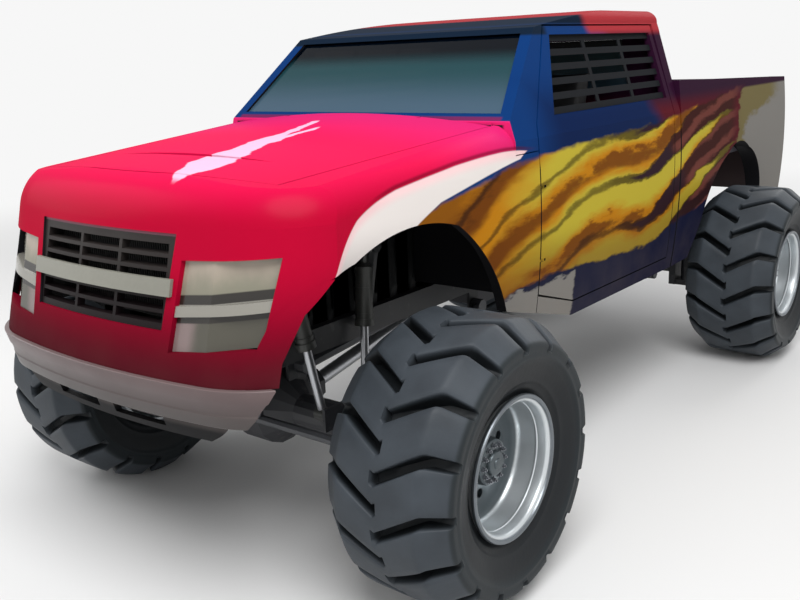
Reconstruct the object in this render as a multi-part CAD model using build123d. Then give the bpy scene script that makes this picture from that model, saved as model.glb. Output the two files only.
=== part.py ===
from build123d import *
import math
import os

# Monster truck: a pickup body on a ladder frame, with planetary axles, four-link
# suspension, steering on both axles and four wide low-pressure tyres.
# Millimetres. The front faces -Y, the truck's left is +X, the ground is Z = 0.
# Stations along the truck are given from a datum plane in the cab. Each piece is saved
# about the middle of the overall box, with the origin on the ground.

os.makedirs("parts", exist_ok=True)

# Overall layout
front_axle_y = -2010
wheelbase = 3830
front_overhang = 1015
rear_overhang = 1205
track = 2316
tyre_radius = 620
tyre_width = 610
steer_limit = 22

# Running clearances
pin_play = 0.05
seat_gap = 0.3
door_gap = 10
lid_gap = 7
panel_gap = 5

# Body sides: one convex arc from sill to bed rail
sill_z = 850
sill_half = 945
waist_z = 1450
waist_half = 990
belt_z = 1860
belt_half = 972
rail_front_z = 2045
rail_rear_z = 1975
sill_turn_y = -645
sill_turn_z = 863
sill_back_z = 840
sill_corner = (760, 845)
arch_foot_z = 1060

# Cab
cowl_y = -1265
cab_back_y = 755
cab_floor_z = 1120
cab_wall = 50
screen_foot_z = 1950
header_y = -800
header_z = 2380
roof_z = 2490
roof_half = 800
roof_corner_half = 740
roof_via_y, roof_via_drop = -120, 32
roof_peak_y = 560
roof_rear_via, roof_rear_drop = 30, 35
back_top_z = 2330
cab_waist_z = 1500
gutter_z = 2400
roof_turn, roof_turn_z = 14, 2452
roof_corner_z = 2472
roof_crown = 4
sill_front_inset, sill_front_z = 4, 976
sill_top_z = 1160
sill_inner_half = 780
door_ledge_half = 850
door_hole_half = 500
cowl_ledge_y = (13, 5)
cowl_ledge_z = (1900, 1945)
glass_thickness = 8
glass_inset = 14

# Bonnet and nose
bonnet_fall = 0.088
shoulder_z = 1795
bonnet_edge_half = 885
bonnet_edge_z = 1932
bonnet_crown_z = 1990
nose_lean = 0.26
bumper_top_z = 1125
bumper_bottom_z = 955
bumper_proud = 22
bumper_tuck = 0.28
valance_bottom_z = 870
nose_bow_radius = 3800
nose_corner_radius = 450
nose_plan_half = 1012
roll_z = 1690
roll_radius = 240
roll_depth = 460
cowl_lap = 200
roll_end_angle = 83
panel_thickness = 38
bonnet_rear_y = -1290
bonnet_setback = 313
bonnet_half_rear = 850
bonnet_half_front = 760
bonnet_bow = 90
under_bonnet_z = 1600
wing_low_z = 900

# Bonnet hinges: a leaf on the cab in a slot of a boss under the bonnet
bonnet_axis_inset = 20
bonnet_axis_z = 1958
leaf_x = 450
boss_half, boss_radius = 45, 15
boss_slot_radius = 17
boss_slot_y = (12, 30)
boss_slot_z = (1900, 2050)
bonnet_leaf_z = (12, 4)
bonnet_leaf_radius = 12
bonnet_pin_half = 30

# Doors
door_front_y = -1042
door_rear_y = 655
door_thickness = 90
door_frame_thickness = 45
door_hinge_inset = 30
door_hinge_x = 972
door_hinge_heights = (1250, 1620)
hinge_pin_radius = 6
hinge_pin_half = 36
hinge_leaf_radius = 12
hinge_leaf_height = 12
hinge_leaf_x = (12, 8)
hinge_leaf_reach = 40
hinge_room = 4
hinge_pocket_x = 18
hinge_pocket_y = (10, 17)
pin_end_room = 1
door_low_z = (1075, 950, 930)
door_top_z = 2385
door_lean = 28
pillar_foot = (-1020, 1925)
pillar_head_y = -705
door_seam = 8
pillar_seam = 9
window_corners = ((-835, 1950), (600, 1950), (585, 2342), (-668, 2342))
net_insets = (18, 26)
net_strap = 34
net_levels = 6
net_upright_ys = (-300, 150)

# Load bed
bed_gap = 18
bed_floor_z = 1450
bed_floor_thickness = 30
bedside_thickness = 75
tailgate_thickness = 55
tailgate_half = 850
tailgate_bottom_z = 1420
tailgate_pin_radius = 12
tailgate_pin_length = 40
tub_top_z = 1640
tub_inner_half = 690
tub_span = (-490, 630)
tub_slope = 130
front_wall_thickness, front_wall_z = 40, 1990
bed_inner_half = 868
rail_stub = 10
post_bottom_z = 1040
tail_low_z = 1035
tail_lamp_x = (876, 938)
tail_lamp_z = (1510, 1850)
tail_lamp_depth = 22
trunnion_root = 30
gate_panel_half, gate_panel_z, gate_panel_depth = 620, (1530, 1860), 12
gate_top_drop = 12
rear_panel_z, rear_panel_thickness = 1045, 38
plate_half, plate_z, plate_depth = 260, (1160, 1320), 12

# Ladder frame
rail_half = 365
rail_width = 70
rail_bottom_z = 960
rail_height = 120
rail_setback = 203
rail_tail_gap = 110
cross_member_width = 70
cross_member_inset = 20
cab_cross_member_ys = (-850, -560, 640)
cross_member_setbacks = (100, 165)
rear_cross_members = (-640, 600)
cab_post_ys = (-950, 0, 640)
cab_post_width = 60
bed_post_setbacks = (195, 265)
bed_post_width = 50
tower_tube_radius = 32
tower_top_z = 1400
tower_half = 430
tower_tube_end = 34
tower_offset = 320
hitch_half = 70
hitch_length = 130
hitch_rear_gap = 8
hitch_z = (1000, 1026)
hitch_hole_radius = 13
hitch_hole_inset = 70

# Engine, gearbox and transfer case, as (x half, y range, z range)
engine_size = (280, (-2270, -1750), (1010, 1360))
sump_size = (130, (-2210, -1750), (930, 1010))
gearbox_size = (140, (-1750, -900), (880, 1070))
case_size = (190, (-420, -60), (760, 1000))
case_stay_y = (-300, -180)
case_stay_z = (1000, 1050)
engine_stay_y = (-2060, -1960)
engine_stay_z = (1012, 1052)

# Cab fittings
seat_x = 360
seat_half = 260
seat_y = (-500, 60)
cushion_z = (1330, 1440)
seat_base_margin = 12
dash_half = 850
dash_rear_y = -900
dash_z = (1640, 1905)
steering_wheel_centre = (360, -760, 1800)
steering_column = (0, -0.87, -0.5)
steering_wheel_radius = 175
steering_grip_radius = 15
spoke_section = (34, 12)
column_radius = 24
column_length = 180

# Axles, given about the axle's own centre
diff_radius = 190
diff_half = 90
diff_taper_half = 220
diff_sides = 16
axle_tube_radius = 80
yoke_inner_half = 555
yoke_plate = 45
kingpin_half = 700
kingpin_radius = 25
knuckle_radius = 70
knuckle_half_height = 120
yoke_gap = 5
yoke_arm = 40
steering_arm = 270
spindle_radius = 60
spindle_shoulder = 25
arm_half_width = 35
arm_half_height = 20
tie_rod_radius = 20
tie_rod_eye_radius = 40
tie_rod_eye_height = 44
tie_rod_open_play = 1
ball_pin_radius = 18
ball_pin_proud = 8
pinion_length = 300
pinion_radius = 85
yoke_half_width = 70
yoke_arm_radius = 62
ram_x = (-430, 30)
ram_radius = 40
ram_end_wall = 40
ram_rod_radius = 16
ram_rod_reach = 160
ram_rod_inside = 270
ram_eye_radius = 32
ram_eye_height = 44
ram_height = 160
ram_stay_radius = 24
ram_stay_inset = 60
ram_stay_sink = 30
ram_boss_radius = 22
link_radius = 28
link_eye_radius = 38
link_eye_width = 60
lower_link = ((420, 92, -92), (420, 1250, 250))
upper_link = ((180, 60, 205), (299.7, 1010, 360))
lug_thickness = 16
lug_root = 20
lug_margin = 40
frame_lug_margin = 45
shock_lug_margin = 38
shock_foot = (490, 150, 90)
shock_radius = 42
shock_rod_radius = 20
shock_rod_length = 330
shock_neck_length = 90
shock_eye_radius = 34
shock_eye_width = 60
drive_shaft_radius = 38
drive_shaft_case_z = 860

# Wheels, given about the wheel's own centre
rim_radius = 313
rim_barrel_radius = 290
rim_half_width = 262
rim_wall = 14
dish_depth = 185
disc_thickness = 18
lip_width = 24
hub_radius = 100
hub_proud = 70
hub_back = 130
wheel_sides = 32
tread_half = 190
shoulder_radius = 530
bead_half = 215
groove_pairs = 16
groove_width = 56
groove_depth = 36
groove_line = ((-18, 0), (200, 130), (330, 128))
groove_foot_radius = 498

rear_axle_y = front_axle_y + wheelbase
bumper_y = front_axle_y - front_overhang
tail_y = rear_axle_y + rear_overhang
middle_y = (bumper_y + tail_y) / 2
wheel_x = track / 2
nose_front_y = bumper_y + bumper_proud
bonnet_front_y = nose_front_y + bonnet_setback
rail_front_y = nose_front_y + rail_setback

# How far cutters reach: well past the body at its sides, top, bottom and front
beyond_x = 1300
beyond_side = 100
beyond_low = 400
beyond_high = 2600
ahead_y = nose_front_y - 300


# Helpers: views, outlines and prisms


def side_view(x):
    return lambda y, z: Vector(x, y, z)


def front_view(y):
    return lambda x, z: Vector(x, y, z)


def plan_view(z):
    return lambda x, y: Vector(x, y, z)


def outline(view, start, *steps):
    """A closed face. A step is the next point, or (via, end) for an arc."""
    first = here = view(*start)
    edges = []
    for step in steps:
        if isinstance(step[0], tuple):
            end = view(*step[1])
            edges.append(Edge.make_three_point_arc(here, view(*step[0]), end))
        else:
            end = view(*step)
            edges.append(Edge.make_line(here, end))
        here = end
    if (here - first).length > 0.001:
        edges.append(Edge.make_line(here, first))
    return Face(Wire(edges))


def straightened(steps):
    """The steps of an outline with each arc replaced by its two chords."""
    points = []
    for step in steps:
        points += step if isinstance(step[0], tuple) else [step]
    return points


def prism(face, vector):
    vector = Vector(*vector)
    if face.normal_at().dot(vector) < 0:
        face = -face
    return Solid.extrude(face, vector)


def block(x, y, z):
    """A box between (low, high) pairs."""
    corner = Location((x[0], y[0], z[0]))
    sizes = (x[1] - x[0], y[1] - y[0], z[1] - z[0])
    return corner * Box(*sizes, align=Align.MIN)


def bar(start, end, radius):
    """A round bar between two points."""
    start, end = Vector(*start), Vector(*end)
    along = end - start
    plane = Plane(origin=start, z_dir=along)
    return plane * Cylinder(radius, along.length, align=(Align.CENTER, Align.CENTER, Align.MIN))


def flat_bar(start, end, radius):
    """A bar with eight flats, each as far from its middle as the radius."""
    start, end = Vector(*start), Vector(*end)
    along = end - start
    section = RegularPolygon(radius, 8, major_radius=False, rotation=22.5)
    return extrude(Plane(origin=start, z_dir=along) * section, along.length)


def along_x(x, y, z, radius):
    return bar((x[0], y, z), (x[1], y, z), radius)


def upright_pin(x, y, z, radius):
    return bar((x, y, z[0]), (x, y, z[1]), radius)


def upright_bar(x, y, z, radius):
    return flat_bar((x, y, z[0]), (x, y, z[1]), radius)


def many_sided(sides, *profile):
    """A solid with flats about the X axis, from a convex row of (x, radius) points."""
    reach = max(r for x, r in profile) + 50
    lower = [(x, -r) for x, r in reversed(profile)]
    slab = prism(outline(front_view(-reach), *profile, *lower), (0, 2 * reach, 0))
    form = slab
    for i in range(1, sides // 2):
        form = form & slab.rotate(Axis.X, i * 360 / sides)
    return form


def mirrored(shape):
    return mirror(shape, about=Plane.YZ)


def fused(*shapes):
    whole = shapes[0]
    for shape in shapes[1:]:
        whole = whole + shape
    return whole


def save(name, *solids):
    parts = [s for shape in solids for s in shape.solids()]
    shape = parts[0] if len(parts) == 1 else Compound(children=parts)
    export_step(Location((0, -middle_y, 0)) * shape, "parts/" + name + ".step")


# Body forms, each drawn in by an inset so that a wall is a form less its inset copy


def side_x(z, inset=0):
    """Half width of the body side at a height, on the arc through sill, waist and rail."""
    low, mid = (sill_half, sill_z), (waist_half, waist_z)
    high = (belt_half, belt_z)
    ax, az = low
    bx, bz = mid
    cx, cz = high
    d = 2 * (ax * (bz - cz) + bx * (cz - az) + cx * (az - bz))
    a2, b2, c2 = ax * ax + az * az, bx * bx + bz * bz, cx * cx + cz * cz
    ux = (a2 * (bz - cz) + b2 * (cz - az) + c2 * (az - bz)) / d
    uz = (a2 * (cx - bx) + b2 * (ax - cx) + c2 * (bx - ax)) / d
    radius = math.hypot(ax - ux, az - uz)
    return ux + math.sqrt(radius**2 - (z - uz) ** 2) - inset


def side_form(inset, z, y):
    """The body between its two convex sides, from z[0] to z[1] and y[0] to y[1]."""
    middle = (z[0] + z[1]) / 2
    face = outline(
        front_view(y[0]),
        (-side_x(z[0], inset), z[0]),
        (side_x(z[0], inset), z[0]),
        ((side_x(middle, inset), middle), (side_x(z[1], inset), z[1])),
        (-side_x(z[1], inset), z[1]),
        ((-side_x(middle, inset), middle), (-side_x(z[0], inset), z[0])),
    )
    return prism(face, (0, y[1] - y[0], 0))


def cab_form(inset):
    """The cab from its floor up: its side view crossed with its front view."""
    base_z = cab_floor_z + inset
    front = cowl_y + inset
    back = cab_back_y - inset
    side = outline(
        side_view(-beyond_x),
        (front, base_z),
        (front, screen_foot_z - inset / 2),
        (header_y + inset, header_z - inset / 2),
        ((roof_via_y, roof_z - roof_via_drop - inset), (roof_peak_y, roof_z - inset)),
        ((back - roof_rear_via, roof_z - roof_rear_drop - inset), (back, back_top_z)),
        (back, base_z),
    )
    width_view = prism(side, (2 * beyond_x, 0, 0))
    belt = belt_half - inset
    roof = roof_half - inset
    corner = roof_corner_half - inset
    base, waist = side_x(base_z, inset), side_x(cab_waist_z, inset)
    corner_z, turn_z = roof_corner_z - inset, roof_turn_z - inset
    end = outline(
        front_view(cowl_y - cowl_lap),
        (-base, base_z),
        (base, base_z),
        ((waist, cab_waist_z), (belt, belt_z)),
        (roof, gutter_z),
        ((roof - roof_turn, turn_z), (corner, corner_z)),
        ((0, roof_z + roof_crown - inset), (-corner, corner_z)),
        ((-roof + roof_turn, turn_z), (-roof, gutter_z)),
        (-belt, belt_z),
        ((-waist, cab_waist_z), (-base, base_z)),
    )
    long_view = prism(end, (0, cab_back_y - cowl_y + 2 * cowl_lap, 0))
    return width_view & long_view


def nose_outline(z, inset, plain=False):
    """Plan of the nose at a height: a wide bow between two corner arcs and straight sides."""
    front = nose_front_y + nose_lean * (z - bumper_top_z) + inset
    bow = nose_bow_radius - inset
    corner = nose_corner_radius - inset
    half = nose_plan_half - inset
    bow_y = front + bow
    corner_x = half - corner
    corner_y = bow_y - math.sqrt((bow - corner) ** 2 - corner_x**2)
    reach = bow / (bow - corner)
    join_x, join_y = corner_x * reach, bow_y + (corner_y - bow_y) * reach
    turn = math.atan2(join_y - corner_y, join_x - corner_x)
    via_x = corner_x + corner * math.cos(turn / 2)
    via_y = corner_y + corner * math.sin(turn / 2)
    steps = [
        (half, corner_y),
        ((via_x, via_y), (join_x, join_y)),
        ((0, front), (-join_x, join_y)),
        ((-via_x, via_y), (-half, corner_y)),
        (-half, cowl_y + cowl_lap),
    ]
    if plain:
        steps = straightened(steps)
    face = outline(plan_view(z), (half, cowl_y + cowl_lap), *steps)
    return face, bow_y, corner_x, corner_y, turn


def rollover(inset, plain=False):
    """The nose above roll_z: its bow and corners turned about upright axes, rolling back."""
    _, bow_y, corner_x, corner_y, turn = nose_outline(roll_z, inset)
    bow = nose_bow_radius - inset
    corner = nose_corner_radius - inset
    radius = roll_radius - inset
    start = math.atan(nose_lean)
    end = math.radians(roll_end_angle)
    middle = (start + end) / 2

    def on_roll(angle):
        back = radius * (math.cos(start) - math.cos(angle))
        up = radius * (math.sin(angle) - math.sin(start))
        return back, roll_z + up

    via_back, via_z = on_roll(middle)
    top_back, top_z = on_roll(end)

    def turned_nose(centre, big, depth, first, last):
        """Revolves the roll's profile about the upright axis at centre."""
        rise = (depth - top_back) * math.tan(math.pi / 2 - end)
        steps = [((via_back, via_z), (top_back, top_z)), (depth, top_z + rise), (depth, roll_z)]
        if plain:
            steps = straightened(steps)

        def view(back, z):
            return Vector(centre[0] + big - back, centre[1], z)

        face = outline(view, (0, roll_z), *steps)
        axis = Axis((centre[0], centre[1], 0), (0, 0, 1))
        face = face.rotate(axis, math.degrees(first))
        return Solid.revolve(face, math.degrees(last - first), axis)

    sector = math.pi / 2 + turn
    middle_part = turned_nose((0, bow_y), bow, roll_depth, -math.pi / 2 - sector, -math.pi / 2 + sector)
    left = turned_nose((corner_x, corner_y), corner, corner, turn, 0)
    half = nose_plan_half - inset
    rear = block((-half, half), (corner_y, cowl_y + cowl_lap), (roll_z, roll_z + roll_depth))
    return fused(middle_part, left, mirrored(left), rear)


def nose_section(inset, plain=False):
    """The front view of bonnet and wings at the cowl."""
    side_low = 700
    low_x, waist_x, shoulder_x = (side_x(z, inset) for z in (side_low, waist_z, shoulder_z))
    edge_x = bonnet_edge_half - inset * 0.6
    turn_x, turn_z = 950 - inset, 1878 - inset * 0.7
    steps = [
        (low_x, side_low),
        ((waist_x, waist_z), (shoulder_x, shoulder_z)),
        ((turn_x, turn_z), (edge_x, bonnet_edge_z - inset)),
        ((0, bonnet_crown_z - inset), (-edge_x, bonnet_edge_z - inset)),
        ((-turn_x, turn_z), (-shoulder_x, shoulder_z)),
        ((-waist_x, waist_z), (-low_x, side_low)),
    ]
    if plain:
        steps = straightened(steps)
    return outline(front_view(cowl_y), (-low_x, side_low), *steps)


def nose_form(inset, plain=False):
    """Bonnet, wings and nose as one closed form ahead of the cowl, plain where it is hidden."""
    reach = cowl_y - ahead_y
    crown = prism(nose_section(inset, plain), (0, -reach, -reach * bonnet_fall))
    base_z = 600
    plan, *_ = nose_outline(base_z, inset, plain)
    lean_height = roll_z - base_z
    leaning = prism(plan, (0, nose_lean * lean_height, lean_height))
    return crown & (leaning + rollover(inset, plain))


def arch(axle_y, start, *arcs):
    """A wheel arch's cutter, from (via, end) arcs in the side view with y given from the axle."""
    def view(y, z):
        return Vector(-beyond_x, axle_y + y, z)

    face = outline(view, (start[0], beyond_low), start, *arcs, (arcs[-1][1][0], beyond_low))
    return prism(face, (2 * beyond_x, 0, 0))


# Nose: one shell from the bonnet's front edge to the bumper, open at grille and lamps

outer_nose = nose_form(0)
nose_shell = outer_nose - nose_form(panel_thickness, plain=True)
wide = (-beyond_x, beyond_x)

front_arch = (
    (-875, arch_foot_z),
    ((-735, 1375), (-440, 1525)),
    ((-40, 1602), (250, 1552)),
    ((430, 1405), (660, arch_foot_z)),
)
rear_arch = (
    (-610, arch_foot_z),
    ((-420, 1340), (-140, 1495)),
    ((90, 1560), (310, 1495)),
    ((565, 1330), (680, arch_foot_z)),
)
front_arch_cut = arch(front_axle_y, *front_arch)
rear_arch_cut = arch(rear_axle_y, *rear_arch)

# The body's lower edge between the arches
front_arch_rear_y = front_axle_y + front_arch[-1][1][0]
rear_arch_front_y = rear_axle_y + rear_arch[0][0]
sill_end = (rear_axle_y - sill_corner[0], sill_corner[1])
under_body = prism(
    outline(
        side_view(-beyond_x),
        (front_arch_rear_y, beyond_low),
        (front_arch_rear_y, arch_foot_z),
        (sill_turn_y, sill_turn_z),
        (cab_back_y, sill_back_z),
        sill_end,
        (rear_arch_front_y, arch_foot_z),
        (rear_arch_front_y, beyond_low),
    ),
    (2 * beyond_x, 0, 0),
)


def bonnet_outline(z, gap):
    return outline(
        plan_view(z),
        (-bonnet_half_rear - gap, bonnet_rear_y + gap),
        (bonnet_half_rear + gap, bonnet_rear_y + gap),
        (bonnet_half_front + gap, bonnet_side_front_y),
        ((0, bonnet_front_y - gap), (-bonnet_half_front - gap, bonnet_side_front_y)),
    )


bonnet_side_front_y = bonnet_front_y + bonnet_bow
bonnet_cut = (0, 0, beyond_high - under_bonnet_z)
bonnet_zone = prism(bonnet_outline(under_bonnet_z, 0), bonnet_cut)
bonnet_hole = prism(bonnet_outline(under_bonnet_z, lid_gap), bonnet_cut)

# The seam between nose and wing: level to split_y, then up and back
split_y, split_z, split_rear_y = nose_front_y + 253, 1300, nose_front_y + 503
split_rise = 0.7
ahead_of_split = prism(
    outline(
        side_view(-beyond_x),
        (split_rear_y, split_z),
        (split_y, split_z),
        (split_y + (beyond_high - split_z) * split_rise, beyond_high),
        (ahead_y, beyond_high),
        (ahead_y, beyond_low),
        (split_rear_y, beyond_low),
    ),
    (2 * beyond_x, 0, 0),
)
above_bumper = block(wide, (ahead_y, cowl_y), (bumper_top_z, beyond_high))

# Grille and lamp openings in the front view, left side given: rows of (x, z) corners
grille_top_half, grille_bottom_half = 447, 418
grille_top_z, grille_bottom_z = 1660, 1300
lamp_corners = ((462, 1225), (842, 1268), (872, 1588), (485, 1566))


def grille_outline(gap):
    return outline(
        front_view(ahead_y),
        (-grille_bottom_half + gap, grille_bottom_z + gap),
        (grille_bottom_half - gap, grille_bottom_z + gap),
        (grille_top_half - gap, grille_top_z - gap),
        (-grille_top_half + gap, grille_top_z - gap),
    )


def lamp_outline(gap):
    (ax, az), (bx, bz), (cx, cz), (dx, dz) = lamp_corners
    return outline(
        front_view(ahead_y),
        (ax + gap, az + gap),
        (bx - gap, bz + gap),
        (cx - gap, cz - gap),
        (dx + gap, dz - gap),
    )


backwards = (0, cowl_y - ahead_y - cowl_lap, 0)
grille_hole = prism(grille_outline(0), backwards)
lamp_hole = prism(lamp_outline(0), backwards)

nose = (nose_shell & ahead_of_split & above_bumper) - bonnet_hole - front_arch_cut
nose = nose - grille_hole - lamp_hole - mirrored(lamp_hole)
save("nose", nose)

# Grille: a surround with level bars and one upright pair, and the wide bar across it
nose_cavity = nose_form(panel_thickness, plain=True)
grille_recess, grille_frame, bar_count, bar_depth = 10, 26, 6, 15
grille_body = prism(grille_outline(seat_gap), backwards) & (nose_form(grille_recess) - nose_cavity)
window_height = (grille_top_z - grille_bottom_z - 2 * grille_frame) / bar_count
grille_bar_z = (1432, 1496)
for i in range(bar_count):
    low = grille_bottom_z + grille_frame + i * window_height
    for x in ((-405, -140), (-122, 122), (140, 405)):
        slot = block(x, (ahead_y, cowl_y), (low, low + window_height - bar_depth))
        grille_body = grille_body - slot
grille_bar_half, grille_bar_proud = 455, 14
bar_zone = block((-grille_bar_half, grille_bar_half), (ahead_y, cowl_y), grille_bar_z)
bar_form = (nose_form(-grille_bar_proud) - nose_form(-seat_gap)) & bar_zone
save("grille", grille_body)
save("grille_bar", bar_form)

# Headlamps: an upper and a lower lamp in one housing, with a bar between them
lamp_recess, lens_recess, lamp_depth = 6, 12, 68
lamp_body = prism(lamp_outline(seat_gap), backwards)
lamp_body = lamp_body & (nose_form(lamp_recess) - nose_form(lamp_depth, plain=True))
lamp_bar = prism(
    outline(front_view(ahead_y), (430, 1352), (880, 1400), (880, 1440), (430, 1392)), backwards
)
lens_front = prism(lamp_outline(-panel_gap), backwards) - nose_form(lens_recess, plain=True)
lens_front = lens_front & block((0, beyond_x), (ahead_y, split_rear_y), (bumper_top_z, roll_z))
lamp_body = lamp_body - (lens_front - lamp_bar)
for side, piece in (("left", lamp_body), ("right", mirrored(lamp_body))):
    save("headlamp_" + side, piece)


# Bumper: a band wrapped round the nose with two arms to the frame, and a slotted valance
bumper_end_y = nose_front_y + 121
bumper_arm_y, bumper_arm_z, bumper_arm_half = nose_front_y + 18, (1000, 1060), 25


def band(inset, z):
    plan, *_ = nose_outline(bumper_top_z, inset)
    height = 400
    form = prism(plan, (0, bumper_tuck * height, -height))
    return form & block(wide, (ahead_y, bumper_end_y), z)


bumper_z = (bumper_bottom_z, bumper_top_z)
bumper = band(-bumper_proud, bumper_z) - band(12, bumper_z)
for side in (-1, 1):
    middle = side * rail_half
    arm_x = (middle - bumper_arm_half, middle + bumper_arm_half)
    bumper = bumper + block(arm_x, (bumper_arm_y, rail_front_y - seat_gap), bumper_arm_z)
save("front_bumper", bumper)

valance_z = (valance_bottom_z, bumper_bottom_z)
valance = band(4, valance_z) - band(34, valance_z)
valance_slots, valance_slot_z = ((-360, -55), (55, 360)), (898, 936)
for slot_x in valance_slots:
    valance = valance - block(slot_x, (ahead_y, bumper_end_y), valance_slot_z)
save("front_valance", valance)

# Bonnet, hinged at the cowl on two leaves
bonnet_axis_y = bonnet_rear_y - bonnet_axis_inset
leaf_half = hinge_leaf_height / 2


def on_bonnet_axis(x, half, radius):
    return bar((x - half, bonnet_axis_y, bonnet_axis_z), (x + half, bonnet_axis_y, bonnet_axis_z), radius)


bonnet = nose_shell & bonnet_zone
slot_half = leaf_half + seat_gap
slot_y = (bonnet_axis_y - boss_slot_y[0], bonnet_rear_y + boss_slot_y[1])
for x in (-leaf_x, leaf_x):
    boss = on_bonnet_axis(x, boss_half, boss_radius)
    bonnet = bonnet + (boss & bonnet_zone & outer_nose)
    cut = on_bonnet_axis(x, slot_half, boss_slot_radius)
    behind = block((x - slot_half, x + slot_half), slot_y, boss_slot_z)
    bore = on_bonnet_axis(x, bonnet_pin_half + 2 * pin_end_room, hinge_pin_radius + pin_play)
    bonnet = bonnet - cut - behind - bore
save("bonnet", bonnet)

# Wings, open over the wheels
cowl_length = door_front_y - door_gap - cowl_y
outer_cowl = prism(nose_section(0), (0, cowl_length, 0))
inner_cowl = prism(nose_section(panel_thickness), (0, cowl_length + 50, 0))
cowl_span = (-bonnet_half_rear - lid_gap, bonnet_half_rear + lid_gap)
cowl_slot = block(cowl_span, (bonnet_rear_y, cowl_y), (under_bonnet_z, beyond_high))
wing_rear_y, wing_z = door_front_y - door_gap, (wing_low_z, beyond_high)
wing_zone = block((0, beyond_x), (ahead_y, wing_rear_y), wing_z) - ahead_of_split
nose_wing = (nose_shell & wing_zone) - bonnet_hole - cowl_slot
nose_wing = nose_wing & block((0, beyond_x), (ahead_y, cowl_y), wing_z)
cowl_zone = block((0, beyond_x), (cowl_y, wing_rear_y), (wing_z[0], shoulder_z))
cowl_wing = (outer_cowl - inner_cowl) & cowl_zone
wing = (nose_wing + cowl_wing) - front_arch_cut - under_body
hinge_y = door_front_y + door_hinge_inset
for z in door_hinge_heights:
    leaf_z = (z - leaf_half, z + leaf_half)
    leaf_span = (door_hinge_x - hinge_leaf_x[0], door_hinge_x + hinge_leaf_x[1])
    leaf = block(leaf_span, (door_front_y - hinge_leaf_reach, hinge_y), leaf_z)
    eye = upright_pin(door_hinge_x, hinge_y, leaf_z, hinge_leaf_radius)
    pin = upright_pin(door_hinge_x, hinge_y, (z - hinge_pin_half, z + hinge_pin_half), hinge_pin_radius)
    wing = wing + leaf + eye + pin
for side, piece in (("left", wing), ("right", mirrored(wing))):
    save("wing_" + side, piece)

# Doors: a slab below the belt and a thinner window frame above it
door_lower = (
    (door_front_y, door_low_z[0]),
    (sill_turn_y, door_low_z[1]),
    (door_rear_y, door_low_z[2]),
    (door_rear_y, belt_z),
    (door_front_y, belt_z),
)
door_upper = (
    (door_front_y, belt_z),
    (door_rear_y, belt_z),
    (door_rear_y - door_lean, door_top_z),
    (pillar_head_y, door_top_z),
    pillar_foot,
)
left_half = (beyond_x / 2, beyond_x)
cab_span = (cowl_y, cab_back_y + beyond_side)


def side_zone(points, low_x=left_half[0]):
    return prism(outline(side_view(low_x), *points), (beyond_x - low_x, 0, 0))


def slab_form(inset):
    return side_form(inset, (wing_low_z, belt_z), cab_span)


door = (slab_form(0) - slab_form(door_thickness)) & side_zone(door_lower)
frame_skin = cab_form(0) - cab_form(door_frame_thickness)
frame = frame_skin & side_zone(door_upper)
window_hole = side_zone(window_corners)
door = door + (frame - window_hole)
pocket_x = (door_hinge_x - hinge_pocket_x, beyond_x)
pocket_y = (door_front_y - hinge_pocket_y[0], hinge_y + hinge_pocket_y[1])
bore_half = hinge_pin_half + pin_end_room
for z in door_hinge_heights:
    slot_z = (z - slot_half, z + slot_half)
    door = door - upright_pin(door_hinge_x, hinge_y, slot_z, hinge_leaf_radius + hinge_room)
    door = door - block(pocket_x, pocket_y, slot_z)
    bore_z = (z - bore_half, z + bore_half)
    door = door - upright_pin(door_hinge_x, hinge_y, bore_z, hinge_pin_radius + pin_play)
for side, piece in (("left", door), ("right", mirrored(door))):
    save("door_" + side, piece)

# Window nets: level straps carried by two upright ones, inside the door frames
(ax, az), (bx, bz), (cx, cz), (dx, dz) = window_corners
net_corners = (
    (ax + seat_gap, az + seat_gap),
    (bx - seat_gap, bz + seat_gap),
    (cx - seat_gap, cz - seat_gap),
    (dx + seat_gap, dz - seat_gap),
)
net_skin = (cab_form(net_insets[0]) - cab_form(net_insets[1])) & side_zone(net_corners)
strap_pitch = (cz - az - net_strap) / (net_levels - 1)
strap_zones = []
for i in range(net_levels):
    low = az + i * strap_pitch
    strap_zones.append(block(left_half, cab_span, (low, low + net_strap)))
for y in net_upright_ys:
    strap_zones.append(block(left_half, (y, y + net_strap), (belt_z, beyond_high)))
straps = fused(*[net_skin & zone for zone in strap_zones])
for side, piece in (("left", straps), ("right", mirrored(straps))):
    save("window_net_" + side, piece)

# Cab: floor, firewall, back wall, pillars, roof and sills in one shell
cab = cab_form(0) - cab_form(cab_wall)
sill_front_y = door_front_y - sill_front_inset
sill_zone = prism(
    outline(
        side_view(sill_inner_half),
        (sill_front_y, sill_front_z),
        (sill_turn_y, sill_turn_z),
        (cab_back_y, sill_back_z),
        (cab_back_y, sill_top_z),
        (sill_front_y, sill_top_z),
    ),
    (beyond_x - sill_inner_half, 0, 0),
)
sill = side_form(0, (sill_z - 20, sill_top_z + 20), (sill_front_y, cab_back_y)) & sill_zone
cab = cab + sill + mirrored(sill)
door_hole = side_zone(
    (
        (door_front_y - door_gap, door_low_z[0] - door_seam),
        (sill_turn_y, door_low_z[1] - door_seam),
        (door_rear_y + door_seam, door_low_z[2] - door_seam),
        (door_rear_y + door_seam, door_top_z + door_seam),
        (pillar_head_y - pillar_seam, door_top_z + door_seam),
        (pillar_foot[0] - pillar_seam, pillar_foot[1]),
        (door_front_y - door_gap, belt_z + door_gap),
    ),
    door_hole_half,
)
lintel_keep = block((0, door_ledge_half), cab_span, (beyond_low, cab_floor_z + cab_wall))
screen_corners = ((-872, 1985), (872, 1985), (748, 2352), (-748, 2352))
rear_glass_corners = ((-640, 1990), (640, 1990), (590, 2310), (-590, 2310))


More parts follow.
